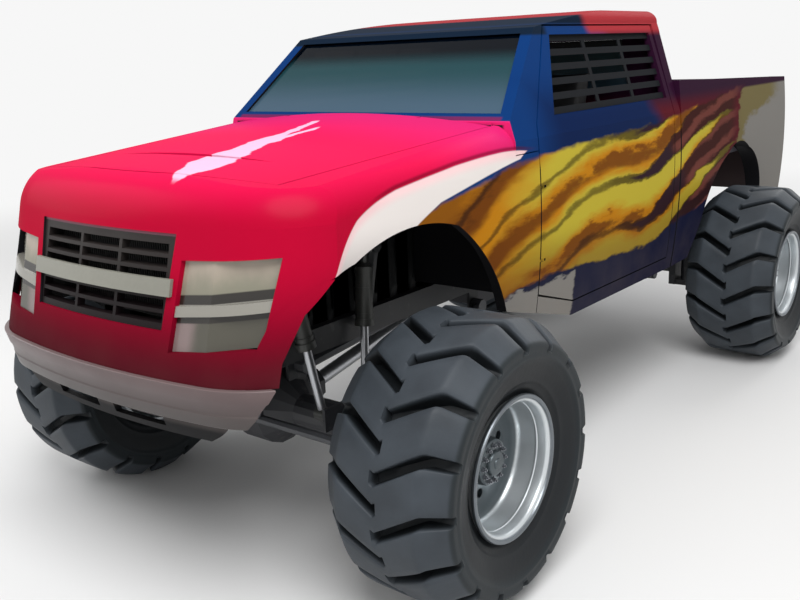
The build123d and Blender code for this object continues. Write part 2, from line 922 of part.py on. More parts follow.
def glass_zone(corners, y, gap):
    (ax, az), (bx, bz), (cx, cz), (dx, dz) = corners
    low, high = ((ax + gap, az + gap), (bx - gap, bz + gap)), ((cx - gap, cz - gap), (dx + gap, dz - gap))
    return prism(outline(front_view(y[0]), *low, *high), (0, y[1] - y[0], 0))


screen_y = (cowl_y - beyond_side, header_y + cowl_lap)
rear_glass_y = (cab_back_y - cowl_lap, cab_back_y + beyond_side)
cab = cab - (door_hole - lintel_keep) - mirrored(door_hole - lintel_keep)
cab = cab - glass_zone(screen_corners, screen_y, 0) - glass_zone(rear_glass_corners, rear_glass_y, 0)
wing_lap_y, wing_lap_z = (cowl_y - beyond_side, wing_rear_y), (wing_low_z, shoulder_z + panel_gap)
wing_inner = side_form(panel_thickness + seat_gap, wing_lap_z, wing_lap_y)
cab = cab - (side_form(-beyond_side, wing_lap_z, wing_lap_y) - wing_inner)
ledge_y = (cowl_y - cowl_ledge_y[0], cowl_y + cowl_ledge_y[1])
cab = cab + block((-bonnet_half_rear, bonnet_half_rear), ledge_y, cowl_ledge_z)
leaf_z = (bonnet_axis_z - bonnet_leaf_z[0], bonnet_axis_z + bonnet_leaf_z[1])
for x in (-leaf_x, leaf_x):
    leaf = block((x - leaf_half, x + leaf_half), (bonnet_axis_y, cowl_y + cab_wall / 5), leaf_z)
    eye = on_bonnet_axis(x, leaf_half, bonnet_leaf_radius)
    cab = cab + leaf + eye + on_bonnet_axis(x, bonnet_pin_half, hinge_pin_radius)
save("cab", cab)

glass_skin = cab_form(glass_inset) - cab_form(glass_inset + glass_thickness)
save("windscreen", glass_skin & glass_zone(screen_corners, screen_y, seat_gap))
save("rear_window", glass_skin & glass_zone(rear_glass_corners, rear_glass_y, seat_gap))

# Load bed: floor with wheel boxes and a front wall, two sides, a tailgate and a rear panel
bed_front_y = cab_back_y + bed_gap
rail_slope = (rail_rear_z - rail_front_z) / (tail_y - bed_front_y)
past_tail_y = tail_y + 50
floor_top_z = bed_floor_z + bed_floor_thickness
post_half = tailgate_half + lid_gap
tailgate_front_y = tail_y - tailgate_thickness


def under_rails(top_drop):
    """Everything below the sloping rail line, less a drop."""
    return prism(
        outline(
            side_view(-beyond_x),
            (bed_front_y, beyond_low),
            (past_tail_y, beyond_low),
            (past_tail_y, rail_front_z + rail_slope * (past_tail_y - bed_front_y) - top_drop),
            (bed_front_y, rail_front_z - top_drop),
        ),
        (2 * beyond_x, 0, 0),
    )


below_rails = under_rails(0)
bedside_y = (bed_front_y, tail_y)
bedside_outer = side_form(0, (sill_z - 15, rail_front_z + rail_stub), bedside_y)
bedside = bedside_outer - block((-beyond_x, bed_inner_half), bedside_y, (beyond_low, beyond_high))
post_y = (tailgate_front_y - lid_gap + seat_gap, tail_y)
bedside = bedside + (block((post_half, beyond_x), post_y, (post_bottom_z, beyond_high)) & bedside_outer)
rear_arch_rear_y = rear_axle_y + rear_arch[-1][1][0]
rear_under = prism(
    outline(
        side_view(-beyond_x),
        (rear_arch_rear_y - beyond_side, beyond_low),
        (rear_arch_rear_y - beyond_side, arch_foot_z),
        (rear_arch_rear_y, arch_foot_z),
        (past_tail_y, tail_low_z),
        (past_tail_y, beyond_low),
    ),
    (2 * beyond_x, 0, 0),
)
bedside = (bedside & below_rails) - rear_arch_cut - under_body - rear_under
lamp_pocket = block(tail_lamp_x, (tail_y - tail_lamp_depth, past_tail_y), tail_lamp_z)
bedside = bedside - lamp_pocket
pin_y, pin_z = tail_y - tailgate_thickness / 2, tailgate_bottom_z + tailgate_thickness / 2
trunnion_x = (post_half - tailgate_pin_length, post_half + trunnion_root)
bedside = bedside + along_x(trunnion_x, pin_y, pin_z, tailgate_pin_radius)
for side, piece in (("left", bedside), ("right", mirrored(bedside))):
    save("bedside_" + side, piece)

tail_lamp = block(
    (tail_lamp_x[0] + seat_gap, tail_lamp_x[1] - seat_gap),
    (tail_y - tail_lamp_depth + seat_gap, tail_y),
    (tail_lamp_z[0] + seat_gap, tail_lamp_z[1] - seat_gap),
)
tail_lamp = tail_lamp & bedside_outer
save("tail_lamps", tail_lamp, mirrored(tail_lamp))

bed_half = bed_inner_half - seat_gap
bed_x, bed_rear_y = (-bed_half, bed_half), tailgate_front_y - lid_gap
bed = block(bed_x, (bed_front_y, bed_rear_y), (bed_floor_z, floor_top_z))
bed = bed + block(bed_x, (bed_front_y, bed_front_y + front_wall_thickness), (bed_floor_z, front_wall_z))
tub_y = (rear_axle_y + tub_span[0], rear_axle_y + tub_span[1])
for side in (-1, 1):
    ends = sorted((side * tub_inner_half, side * bed_half))
    outer = prism(
        outline(
            side_view(ends[0]),
            (tub_y[0], floor_top_z),
            (tub_y[1], floor_top_z),
            (tub_y[1] - tub_slope, tub_top_z),
            (tub_y[0] + tub_slope, tub_top_z),
        ),
        (ends[1] - ends[0], 0, 0),
    )
    bed = bed + outer
save("bed", bed)

tailgate_top_z = rail_rear_z - gate_top_drop
low_arc = tailgate_thickness / 2
tailgate_face = outline(
    side_view(-tailgate_half),
    (tailgate_front_y, pin_z),
    ((pin_y, pin_z - low_arc), (tail_y, pin_z)),
    (tail_y, tailgate_top_z),
    (tailgate_front_y, tailgate_top_z),
)
tailgate = prism(tailgate_face, (2 * tailgate_half, 0, 0))
gate_panel_y = (tail_y - gate_panel_depth, past_tail_y)
tailgate = tailgate - block((-gate_panel_half, gate_panel_half), gate_panel_y, gate_panel_z)
trunnion_hole = (tailgate_half - tailgate_pin_length, tailgate_half + lid_gap)
hole = along_x(trunnion_hole, pin_y, pin_z, tailgate_pin_radius + pin_play)
save("tailgate", tailgate - hole - mirrored(hole))

pan_half, pan_z = post_half - seat_gap, (rear_panel_z, tailgate_bottom_z - lid_gap)
rear_panel = block((-pan_half, pan_half), (tail_y - rear_panel_thickness, tail_y), pan_z)
plate_y = (tail_y - plate_depth, past_tail_y)
save("rear_panel", rear_panel - block((-plate_half, plate_half), plate_y, plate_z))

# Cab fittings seen through the glass
floor_top = cab_floor_z + cab_wall + seat_gap
seat_x_range = (seat_x - seat_half, seat_x + seat_half)
base_x_range = (seat_x_range[0] + seat_base_margin, seat_x_range[1] - seat_base_margin)
seat_base = block(base_x_range, seat_y, (floor_top, cushion_z[0]))
cushion = block(seat_x_range, seat_y, cushion_z)
seat_back = prism(
    outline(
        side_view(seat_x_range[0]),
        (-20, 1400),
        (110, 1400),
        (250, 2080),
        ((225, 2130), (170, 2110)),
        (120, 2060),
    ),
    (2 * seat_half, 0, 0),
)
save("driver_seat", fused(seat_base, cushion, seat_back))

dash = block((-dash_half, dash_half), (cowl_y, dash_rear_y), dash_z) & cab_form(cab_wall + seat_gap)
wheel_centre = Vector(*steering_wheel_centre)
column_dir = Vector(*steering_column)
wheel_plane = Plane(origin=wheel_centre, z_dir=column_dir)
grip_outer = steering_wheel_radius + steering_grip_radius
grip_inner = steering_wheel_radius - steering_grip_radius
grip_depth = 2 * steering_grip_radius
grip = wheel_plane * (Cylinder(grip_outer, grip_depth) - Cylinder(grip_inner, grip_depth))
spoke = wheel_plane * Box(2 * steering_wheel_radius, *spoke_section)
column = bar(wheel_centre, wheel_centre + column_dir * column_length, column_radius)
save("dashboard", fused(dash, column, grip, spoke))


# Axles, steering and suspension. Each axle is drawn about its own centre with the steering at
# -Y, as the front one stands. The rear one is the same, turned half round.


def on_axle(shape, rear):
    """Moves a shape drawn about the axle's centre to the front or the rear axle."""
    if rear:
        return Location((0, rear_axle_y, tyre_radius)) * (Rot(0, 0, 180) * shape)
    return Location((0, front_axle_y, tyre_radius)) * shape


# Axle housing: differential, tubes, pinion nose and a yoke at each end
tube_end = yoke_inner_half
diff = many_sided(
    diff_sides,
    (-diff_taper_half, axle_tube_radius),
    (-diff_half, diff_radius),
    (diff_half, diff_radius),
    (diff_taper_half, axle_tube_radius),
)
tube = many_sided(diff_sides, (-tube_end, axle_tube_radius), (tube_end, axle_tube_radius))
housing = fused(diff, tube, flat_bar((0, 0, 0), (0, pinion_length, 0), pinion_radius))
arm_low_z = knuckle_half_height + yoke_gap
arm_high_z = arm_low_z + yoke_arm
web_x = (tube_end - 5, tube_end + yoke_plate)
yoke = block(web_x, (-yoke_half_width, yoke_half_width), (-arm_high_z, arm_high_z))
for low, high in ((arm_low_z, arm_high_z), (-arm_high_z, -arm_low_z)):
    yoke = yoke + block((tube_end, kingpin_half), (-yoke_arm_radius, yoke_arm_radius), (low, high))
    yoke = yoke + upright_bar(kingpin_half, 0, (low, high), yoke_arm_radius)
yoke = yoke - upright_pin(kingpin_half, 0, (-2 * arm_high_z, 2 * arm_high_z), kingpin_radius + pin_play)
housing = housing + yoke + mirrored(yoke)

# Links from the axle to the frame, and the lugs on the axle and frame that hold their eyes
eye_half = link_eye_width / 2
lug_x = (-eye_half - seat_gap - lug_thickness, -eye_half - seat_gap)
links = []
for start, end in (lower_link, upper_link):
    link = flat_bar(start, end, link_radius)
    for x, y, z in (start, end):
        link = link + flat_bar((x - eye_half, y, z), (x + eye_half, y, z), link_eye_radius)
    links += [link, mirrored(link)]


def lug_at(x, y, z):
    """A flat lug beside an eye at x, filling the given y and z ranges."""
    return block((x + lug_x[0], x + lug_x[1]), y, z)


(low_x, low_y, low_z), (low_frame_x, low_frame_y, low_frame_z) = lower_link
(top_x, top_y, top_z), _ = upper_link
lower_lug = lug_at(low_x, (-lug_root, low_y + lug_margin), (low_z - lug_margin, -lug_root))
upper_lug = lug_at(top_x, (-lug_root, top_y + lug_margin), (3 * lug_root, top_z + lug_margin))
frame_lug_y = (low_frame_y - frame_lug_margin, low_frame_y + frame_lug_margin)
frame_lug_z = (low_frame_z - frame_lug_margin, rail_bottom_z - tyre_radius + panel_gap)
frame_lug = lug_at(low_frame_x, frame_lug_y, frame_lug_z)
housing = fused(housing, lower_lug, mirrored(lower_lug), upper_lug, mirrored(upper_lug))

# Shocks: two a side, from lugs on the axle to the towers' cross tubes
shock_eye_half = shock_eye_width / 2
shock_top_y = tower_offset - tower_tube_radius - seat_gap - shock_eye_half
shock_top_z = tower_top_z - tyre_radius


def shock(side):
    """A shock on the truck's left, ahead of the axle or behind it."""
    foot = Vector(shock_foot[0], side * shock_foot[1], shock_foot[2])
    top = Vector(tower_half, side * shock_top_y, shock_top_z)
    along = (top - foot).normalized()
    low, high = foot + along * shock_rod_length, top - along * shock_neck_length
    across, lengthwise = Vector(shock_eye_half, 0, 0), Vector(0, shock_eye_half, 0)
    return fused(
        flat_bar(foot, low, shock_rod_radius),
        flat_bar(low, high, shock_radius),
        flat_bar(high, top, shock_rod_radius),
        flat_bar(foot - across, foot + across, shock_eye_radius),
        flat_bar(top - lengthwise, top + lengthwise, shock_eye_radius),
    )


shocks = []
foot_lug_start = shock_foot[0] + shock_eye_half + seat_gap
foot_lug_x = (foot_lug_start, foot_lug_start + lug_thickness)
for side in (-1, 1):
    one = shock(side)
    shocks += [one, mirrored(one)]
    lug_y = sorted((side * lug_root, side * (shock_foot[1] + shock_lug_margin)))
    foot_lug = block(foot_lug_x, lug_y, (lug_root, shock_foot[2] + shock_lug_margin))
    housing = housing + foot_lug + mirrored(foot_lug)

# Steering ram: a barrel on two stays, and the rod that pushes the tie rod
ram_y = -steering_arm
bore = along_x((ram_x[0] + ram_end_wall, ram_x[1] + 5), ram_y, ram_height, ram_rod_radius + pin_play)
ram = flat_bar((ram_x[0], ram_y, ram_height), (ram_x[1], ram_y, ram_height), ram_radius)
ram_stays = ((ram_x[0] + ram_stay_inset, axle_tube_radius), (ram_x[1] - ram_stay_inset, diff_radius))
for x, housing_radius in ram_stays:
    stay_foot = (x, ram_stay_sink - housing_radius, ram_stay_sink)
    ram = ram + flat_bar(stay_foot, (x, ram_y + ram_radius / 2, ram_height - ram_radius / 4), ram_stay_radius)
housing = housing + (ram - bore)

eye_x = ram_x[1] + ram_rod_reach
ram_eye_z = (ram_height - ram_eye_height / 2, ram_height + ram_eye_height / 2)
ram_rod = along_x((eye_x - ram_rod_reach - ram_rod_inside, eye_x), ram_y, ram_height, ram_rod_radius)
ram_rod = ram_rod + upright_bar(eye_x, ram_y, ram_eye_z, ram_eye_radius)

# Knuckle: kingpin barrel, spindle and steering arm with its ball pin
arm_z = (-arm_half_height, arm_half_height)
rod_z = (arm_half_height + seat_gap, arm_half_height + tie_rod_eye_height)
disc_x = rim_half_width - dish_depth
spindle_end = wheel_x + disc_x + spindle_shoulder
knuckle = upright_bar(kingpin_half, 0, (-knuckle_half_height, knuckle_half_height), knuckle_radius)
knuckle = knuckle + upright_pin(kingpin_half, 0, (-arm_high_z, arm_high_z), kingpin_radius)
knuckle = knuckle + along_x((kingpin_half, spindle_end), 0, 0, spindle_radius)
arm_x = (kingpin_half - arm_half_width, kingpin_half + arm_half_width)
knuckle = knuckle + block(arm_x, (-steering_arm, 0), arm_z)
knuckle = knuckle + upright_bar(kingpin_half, -steering_arm, arm_z, tie_rod_eye_radius)
pin_z_range = (arm_z[0], rod_z[1] + ball_pin_proud)
knuckle = knuckle + upright_pin(kingpin_half, -steering_arm, pin_z_range, ball_pin_radius)

# Tie rod: pinned to one knuckle, with a looser eye on the other, and a boss for the ram
rod_middle = (rod_z[0] + rod_z[1]) / 2
rod_left, rod_right = (kingpin_half, -steering_arm, rod_middle), (-kingpin_half, -steering_arm, rod_middle)
tie_rod = flat_bar(rod_left, rod_right, tie_rod_radius)
for x, play in ((kingpin_half, pin_play), (-kingpin_half, tie_rod_open_play)):
    tie_rod = tie_rod + upright_bar(x, -steering_arm, rod_z, tie_rod_eye_radius)
    tie_rod = tie_rod - upright_pin(x, -steering_arm, (rod_z[0] - 5, rod_z[1] + 5), ball_pin_radius + play)
tie_rod = tie_rod + upright_bar(eye_x, -steering_arm, (rod_middle, ram_eye_z[0] - seat_gap), ram_boss_radius)

# Tyre: a casing of many flats on the rim's own, with bent grooves cut in from each shoulder
half_tyre = tyre_width / 2
seat_radius = rim_barrel_radius + seat_gap
casing = many_sided(
    wheel_sides,
    (-half_tyre, shoulder_radius),
    (-tread_half, tyre_radius),
    (tread_half, tyre_radius),
    (half_tyre, shoulder_radius),
)
sidewall_slope = (shoulder_radius - seat_radius) / (half_tyre - bead_half)
sidewall_end = (half_tyre + 10, shoulder_radius + 10 * sidewall_slope)
side_hollow = many_sided(wheel_sides, (bead_half, seat_radius), sidewall_end)
seat = many_sided(wheel_sides, (-half_tyre, seat_radius), (half_tyre, seat_radius))
casing = casing - seat - side_hollow - mirrored(side_hollow)
groove_floor = tyre_radius - groove_depth
groove_start, groove_end = groove_line[0][0], groove_line[-1][0]
groove_slope = (groove_floor - groove_foot_radius) / (half_tyre - groove_start)
pitch = 360 / groove_pairs


def groove(side):
    """The space between two tread bars on one side: a bent plan crossed with a sloping floor."""
    half = groove_width / 2
    near = [(side * x, y - half) for x, y in groove_line]
    far = [(side * x, y + half) for x, y in reversed(groove_line)]
    plan = prism(outline(plan_view(rim_radius), *near, *far), (0, 0, tyre_radius))
    floor = outline(
        front_view(-tyre_radius),
        (side * groove_start, groove_floor),
        (side * groove_end, groove_floor - groove_slope * (groove_end - groove_start)),
        (side * groove_end, 2 * tyre_radius),
        (side * groove_start, 2 * tyre_radius),
    )
    return plan & prism(floor, (0, 2 * tyre_radius, 0))


grooves = []
for side, turn in ((1, 0.5), (-1, 0)):
    cutter = groove(side)
    for i in range(groove_pairs):
        grooves.append(cutter.rotate(Axis.X, (i + turn) * pitch - 90))
tyre = casing.cut(*grooves)

# Wheel: rim, dished disc and a hub bored for the spindle
barrel_in = rim_barrel_radius - rim_wall
bore_end = spindle_end - wheel_x + panel_gap
bore_radius = spindle_radius + pin_play
past_rim = rim_half_width + 10
barrel = many_sided(wheel_sides, (-rim_half_width, rim_barrel_radius), (rim_half_width, rim_barrel_radius))
lip = many_sided(wheel_sides, (rim_half_width - lip_width, rim_barrel_radius), (rim_half_width, rim_radius))
dish = many_sided(wheel_sides, (disc_x, barrel_in), (past_rim, barrel_in))
behind_disc = many_sided(wheel_sides, (-past_rim, barrel_in), (disc_x - disc_thickness, barrel_in))
hub = flat_bar((-hub_back, 0, 0), (disc_x + hub_proud, 0, 0), hub_radius)
bore = along_x((-hub_back - 5, bore_end), 0, 0, bore_radius)
wheel = (barrel + lip - dish - behind_disc) + hub - bore

for axle, axle_y, rear in (("front", front_axle_y, False), ("rear", rear_axle_y, True)):
    save("axle_" + axle, on_axle(housing, rear))
    save("tie_rod_" + axle, on_axle(tie_rod, rear))
    save("steering_ram_rod_" + axle, on_axle(ram_rod, rear))
    drawn_on_left, drawn_on_right = knuckle, mirrored(knuckle)
    if rear:
        drawn_on_left, drawn_on_right = drawn_on_right, drawn_on_left
    save("knuckle_" + axle + "_left", on_axle(drawn_on_left, rear))
    save("knuckle_" + axle + "_right", on_axle(drawn_on_right, rear))
    left_wheel = Location((wheel_x, axle_y, tyre_radius))
    for piece_name, piece in (("tyre", tyre), ("wheel", wheel)):
        placed = left_wheel * piece
        save(piece_name + "_" + axle + "_left", placed)
        save(piece_name + "_" + axle + "_right", mirrored(placed))
save("suspension_links", *[on_axle(link, rear) for rear in (False, True) for link in links])
save("shocks", *[on_axle(one, rear) for rear in (False, True) for one in shocks])

# Frame: two box rails, cross members with a rear hitch plate, body posts, shock towers and
# the lugs for the lower links, all welded together
rail_z = (rail_bottom_z, rail_bottom_z + rail_height)
rail_y = (rail_front_y, tail_y - rail_tail_gap)
rail_x = (rail_half - rail_width / 2, rail_half + rail_width / 2)
rail = block(rail_x, rail_y, rail_z)
frame_pieces = [mirrored(rail)]
front_member_y = rail_front_y + cross_member_setbacks[0]
tail_member_y = tail_y - cross_member_setbacks[1]
cross_member_ys = [front_member_y, *cab_cross_member_ys, tail_member_y]
cross_member_ys += [rear_axle_y + y for y in rear_cross_members]
for y in cross_member_ys:
    y_range = (y - cross_member_width / 2, y + cross_member_width / 2)
    z_range = (rail_z[0] + cross_member_inset, rail_z[1] - cross_member_inset)
    frame_pieces.append(block((-rail_half, rail_half), y_range, z_range))
hitch = block((-hitch_half, hitch_half), (tail_y - hitch_length - 20, tail_y - hitch_rear_gap), hitch_z)
frame_pieces.append(hitch)
posts = [(y, cab_post_width, cab_floor_z) for y in cab_post_ys]
bed_post_ys = (cab_back_y + bed_post_setbacks[0], tail_y - bed_post_setbacks[1])
posts += [(y, bed_post_width, bed_floor_z) for y in bed_post_ys]
for y, width, top in posts:
    half = width / 2
    post = block((rail_half - half, rail_half + half), (y - half, y + half), (rail_z[1] - 5, top - seat_gap))
    frame_pieces += [post, mirrored(post)]
for axle_y in (front_axle_y, rear_axle_y):
    for y in (axle_y - tower_offset, axle_y + tower_offset):
        top = (tower_half, y, tower_top_z)
        upright = flat_bar((rail_half, y, rail_z[1] - 20), top, tower_tube_radius)
        cross_half = tower_half + tower_tube_end
        cross_ends = (-cross_half, y, tower_top_z), (cross_half, y, tower_top_z)
        cross_tube = flat_bar(*cross_ends, tower_tube_radius)
        frame_pieces += [upright, mirrored(upright), cross_tube]
for rear in (False, True):
    frame_pieces += [on_axle(frame_lug, rear), on_axle(mirrored(frame_lug), rear)]
frame = rail.fuse(*frame_pieces)
hitch_hole_y = tail_y - hitch_hole_inset
frame = frame - upright_pin(0, hitch_hole_y, (hitch_z[0] - 5, hitch_z[1] + 5), hitch_hole_radius)
save("frame", frame)

# Engine, gearbox and transfer case as plain blocks between the rails, and the drive shafts
engine_parts = []
for half, y_range, z_range in (engine_size, sump_size, gearbox_size, case_size):
    engine_parts.append(block((-half, half), y_range, z_range))
stay_half = rail_x[0] - seat_gap
for y_range, z_range in ((case_stay_y, case_stay_z), (engine_stay_y, engine_stay_z)):
    engine_parts.append(block((-stay_half, stay_half), y_range, z_range))
engine, sump, gearbox, case, case_stay, engine_stay = engine_parts
save("engine", fused(engine, sump, gearbox, engine_stay), case + case_stay)

drive_shafts = []
case_front_y, case_rear_y = case_size[1]
for end_y, case_y in (
    (front_axle_y + pinion_length + seat_gap, case_front_y - seat_gap),
    (rear_axle_y - pinion_length - seat_gap, case_rear_y + seat_gap),
):
    reach = 60 if case_y > end_y else -60
    slope = (drive_shaft_case_z - tyre_radius) / (case_y - end_y)
    start = (0, end_y - reach, tyre_radius - reach * slope)
    end = (0, case_y + reach, drive_shaft_case_z + reach * slope)
    span = block((-rail_half, rail_half), sorted((end_y, case_y)), (0, rail_bottom_z))
    drive_shafts.append(bar(start, end, drive_shaft_radius) & span)
save("drive_shafts", *drive_shafts)
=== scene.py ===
import math

import bmesh
import bpy
from mathutils import Matrix, Vector


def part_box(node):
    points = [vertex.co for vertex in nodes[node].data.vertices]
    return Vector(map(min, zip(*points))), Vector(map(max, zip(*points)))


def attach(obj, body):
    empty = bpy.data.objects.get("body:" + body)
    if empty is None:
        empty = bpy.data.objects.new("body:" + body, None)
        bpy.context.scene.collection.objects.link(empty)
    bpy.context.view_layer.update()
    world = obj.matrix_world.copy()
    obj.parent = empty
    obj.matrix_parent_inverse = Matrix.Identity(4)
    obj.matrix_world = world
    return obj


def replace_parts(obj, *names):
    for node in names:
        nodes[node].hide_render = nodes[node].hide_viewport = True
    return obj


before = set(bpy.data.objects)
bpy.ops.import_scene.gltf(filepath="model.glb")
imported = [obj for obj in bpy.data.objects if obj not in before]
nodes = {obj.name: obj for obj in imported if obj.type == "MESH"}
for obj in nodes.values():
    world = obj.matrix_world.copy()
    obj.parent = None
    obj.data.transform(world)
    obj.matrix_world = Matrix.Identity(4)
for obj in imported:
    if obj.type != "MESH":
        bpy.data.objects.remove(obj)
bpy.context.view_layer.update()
print("frame loaded:", len(nodes), "nodes")


def addObject(name, data):
    thing = bpy.data.objects.new(name, data)
    bpy.context.scene.collection.objects.link(thing)
    return thing


def addMesh(name, mesh):
    data = bpy.data.meshes.new(name)
    mesh.to_mesh(data)
    mesh.free()
    return addObject(name, data)


def aimed(place, ahead):
    return Matrix.Translation(place) @ ahead.to_track_quat("-Z", "Y").to_matrix().to_4x4()


def pick(shape, names):
    # the named values of a piece's dictionary
    return [shape[name] for name in names.split()]


# Camera, floor and lamps

viewSettings = {
    "place": (3.177, -4.945, 2.278), "azimuth": 38.48, "elevation": 15.19, "roll": -2.36, "lens": 40.8,
}

camera = bpy.data.cameras.new("photoCamera")
camera.lens = viewSettings["lens"]
camera.sensor_width = 36
camera.clip_end = 400
cameraObject = addObject("photoCamera", camera)
azimuth, elevation, roll = (math.radians(angle) for angle in pick(viewSettings, "azimuth elevation roll"))
ahead = Vector((
    -math.sin(azimuth) * math.cos(elevation),
    math.cos(azimuth) * math.cos(elevation),
    -math.sin(elevation),
))
cameraObject.matrix_world = aimed(viewSettings["place"], ahead) @ Matrix.Rotation(roll, 4, "Z")
bpy.context.scene.camera = cameraObject
bpy.context.scene.view_settings.view_transform = "Standard"
print("camera placed")


def operator(operation, turned=False):
    # a method that joins a reading and a value, the value first when turned
    def joined(self, other):
        return self.reckon(operation, *((other, self) if turned else (self, other)))

    return joined


class Reading:
    # one shader value, so that maths on it reads as an expression
    def __init__(self, finish, socket):
        self.finish = finish
        self.socket = socket

    def reckon(self, operation, *values):
        return self.finish.add("Math", dict(enumerate(values)), operation=operation)

    def __abs__(self):
        return self.reckon("ABSOLUTE", self)

    def sine(self):
        return self.reckon("SINE", self)

    __add__, __radd__ = operator("ADD"), operator("ADD", True)
    __sub__, __rsub__ = operator("SUBTRACT"), operator("SUBTRACT", True)
    __mul__, __rmul__ = operator("MULTIPLY"), operator("MULTIPLY", True)
    __truediv__, __pow__ = operator("DIVIDE"), operator("POWER")
    atLeast = operator("MAXIMUM")


class Nodes:
    # a shader tree and the nodes added to it
    def __init__(self, tree):
        self.tree = tree

    def add(self, kind, values, output=0, **settings):
        node = self.tree.nodes.new("ShaderNode" + kind)
        for key, value in settings.items():
            setattr(node, key, value)
        for key, value in values.items():
            if isinstance(value, Reading):
                self.tree.links.new(value.socket, node.inputs[key])
            elif isinstance(value, tuple) and len(value) == 3 and node.inputs[key].type == "RGBA":
                node.inputs[key].default_value = (*value, 1)
            else:
                node.inputs[key].default_value = value
        return Reading(self, node.outputs[output])

    def end(self, reading, outputName):
        self.tree.links.new(reading.socket, self.tree.nodes[outputName].inputs[0])


class Finish(Nodes):
    # a material and the nodes that feed its shader
    def __init__(self, name, colour, roughness, metallic=0, **settings):
        self.material = bpy.data.materials.new(name)
        self.material.use_nodes = True
        super().__init__(self.material.node_tree)
        self.shader = self.tree.nodes["Principled BSDF"]
        values = {"Base Color": (*colour, 1), "Roughness": roughness, "Metallic": metallic, **settings}
        for key, value in values.items():
            self.shader.inputs[key.replace("_", " ")].default_value = value
        self.place = self.add("TexCoord", {}, "Object")
        self.axes = self.parted(self.place)

    def cover(self, shade, roughness=None, normal=None):
        for socketName, reading in (("Base Color", shade), ("Roughness", roughness), ("Normal", normal)):
            if reading:
                self.tree.links.new(reading.socket, self.shader.inputs[socketName])
        return self

    def parted(self, vector):
        # x, y and z
        split = self.add("SeparateXYZ", {"Vector": vector}).socket.node
        return [Reading(self, output) for output in split.outputs]

    def noise(self, scale, detail=2, stretch=(1, 1, 1), shift=(0, 0, 0), roughness=0.5, tilt=0):
        turned = {"Scale": stretch, "Location": shift, "Rotation": (tilt, 0, 0)}
        moved = self.add("Mapping", {"Vector": self.place, **turned})
        grain = {"Vector": moved, "Scale": scale, "Detail": detail, "Roughness": roughness}
        return self.add("TexNoise", grain)

    def rise(self, value, low, high, kind="SMOOTHSTEP"):
        # 0 below low, 1 above high and smooth between
        limits = {"Value": value, "From Min": low, "From Max": high, "To Min": 0, "To Max": 1}
        return self.add("MapRange", limits, interpolation_type=kind)

    def between(self, value, low, high, soft):
        return self.rise(value, low - soft, low + soft) * (1 - self.rise(value, high - soft, high + soft))

    def onWheel(self):
        # distance from the nearer axle's line, and from the tyre's middle
        x, y, z = self.axes
        hubY = self.rise(y, -0.1, 0.1) * (tyrePlaces["rear"] - tyrePlaces["front"]) + tyrePlaces["front"]
        upZ = z - tyrePlaces["height"]
        return ((y - hubY) * (y - hubY) + upZ * upZ) ** 0.5, abs(abs(x) - tyrePlaces["side"])

    def line(self, value, points, ceiling=3):
        # height of a line through (along, height) points
        first, last = points[0][0], points[-1][0]
        grey = self.add("ValToRGB", {0: self.rise(value, first, last, "LINEAR")})
        ramp = grey.socket.node.color_ramp
        ramp.interpolation = "B_SPLINE"
        while len(ramp.elements) < len(points):
            ramp.elements.new(1)
        for element, (along, height) in zip(ramp.elements, points):
            element.position = (along - first) / (last - first)
            element.color = (*[height / ceiling] * 3, 1)
        return self.add("SeparateColor", {0: grey}) * ceiling

    def mix(self, factor, first, second):
        return self.add("Mix", {0: factor, 6: first, 7: second}, 2, data_type="RGBA")

    def bump(self, height, strength, distance):
        return self.add("Bump", {"Height": height, "Strength": strength, "Distance": distance})

    def use(self, *names):
        for name in names:
            dress(nodes[name], self.material)


def dress(thing, material):
    if thing.data.materials:
        for i in range(len(thing.data.materials)):
            thing.data.materials[i] = material
    else:
        thing.data.materials.append(material)


floorSettings = {
    "half": 60, "colour": (0.8, 0.8, 0.8), "drop": 0.002, "fade": (5, 13),
    "backdrop": (0.93, 0.93, 0.93), "skyLevel": 0.52,
}

floorMesh = bmesh.new()
bmesh.ops.create_grid(floorMesh, x_segments=1, y_segments=1, size=floorSettings["half"])
bmesh.ops.translate(floorMesh, verts=floorMesh.verts, vec=(0, 0, -floorSettings["drop"]))
floor = addMesh("studioFloor", floorMesh)
floorFinish = Finish("floorPaper", floorSettings["colour"], 0.9)
x, y, z = floorFinish.axes
fade = floorFinish.rise((x * x + y * y) ** 0.5, *floorSettings["fade"])
glow = floorFinish.add("Emission", {"Color": floorSettings["backdrop"]})
paper = Reading(floorFinish, floorFinish.shader.outputs[0])
blendIn = floorFinish.add("MixShader", {0: fade, 1: paper, 2: glow})
floorFinish.end(blendIn, "Material Output")
dress(floor, floorFinish.material)

lampRows = (
    # name, place, size, watts
    ("keyLamp", (4, -5, 8.5), 6, 730),
    ("fillLamp", (-7, -5, 5), 6, 230),
    ("backLamp", (1, 9, 7), 6, 260),
)
for lampName, lampPlace, lampSize, lampWatts in lampRows:
    lamp = bpy.data.lights.new(lampName, "AREA")
    lamp.shape = "DISK"
    lamp.size = lampSize
    lamp.energy = lampWatts
    addObject(lampName, lamp).matrix_world = aimed(lampPlace, Vector((0, 0, 1)) - Vector(lampPlace))

world = bpy.data.worlds.new("studio")
bpy.context.scene.world = world
world.use_nodes = True
sky = Nodes(world.node_tree)
seen = sky.add("LightPath", {}, "Is Camera Ray")
glossy = Reading(sky, seen.socket.node.outputs["Is Glossy Ray"])
ambient = sky.add("Background", {"Color": (1, 1, 1), "Strength": floorSettings["skyLevel"]})
backdrop = sky.add("Background", {"Color": floorSettings["backdrop"]})
sky.end(sky.add("MixShader", {0: seen.atLeast(glossy), 1: ambient, 2: backdrop}), "World Output")
print("floor and lamps ready")


# Paint

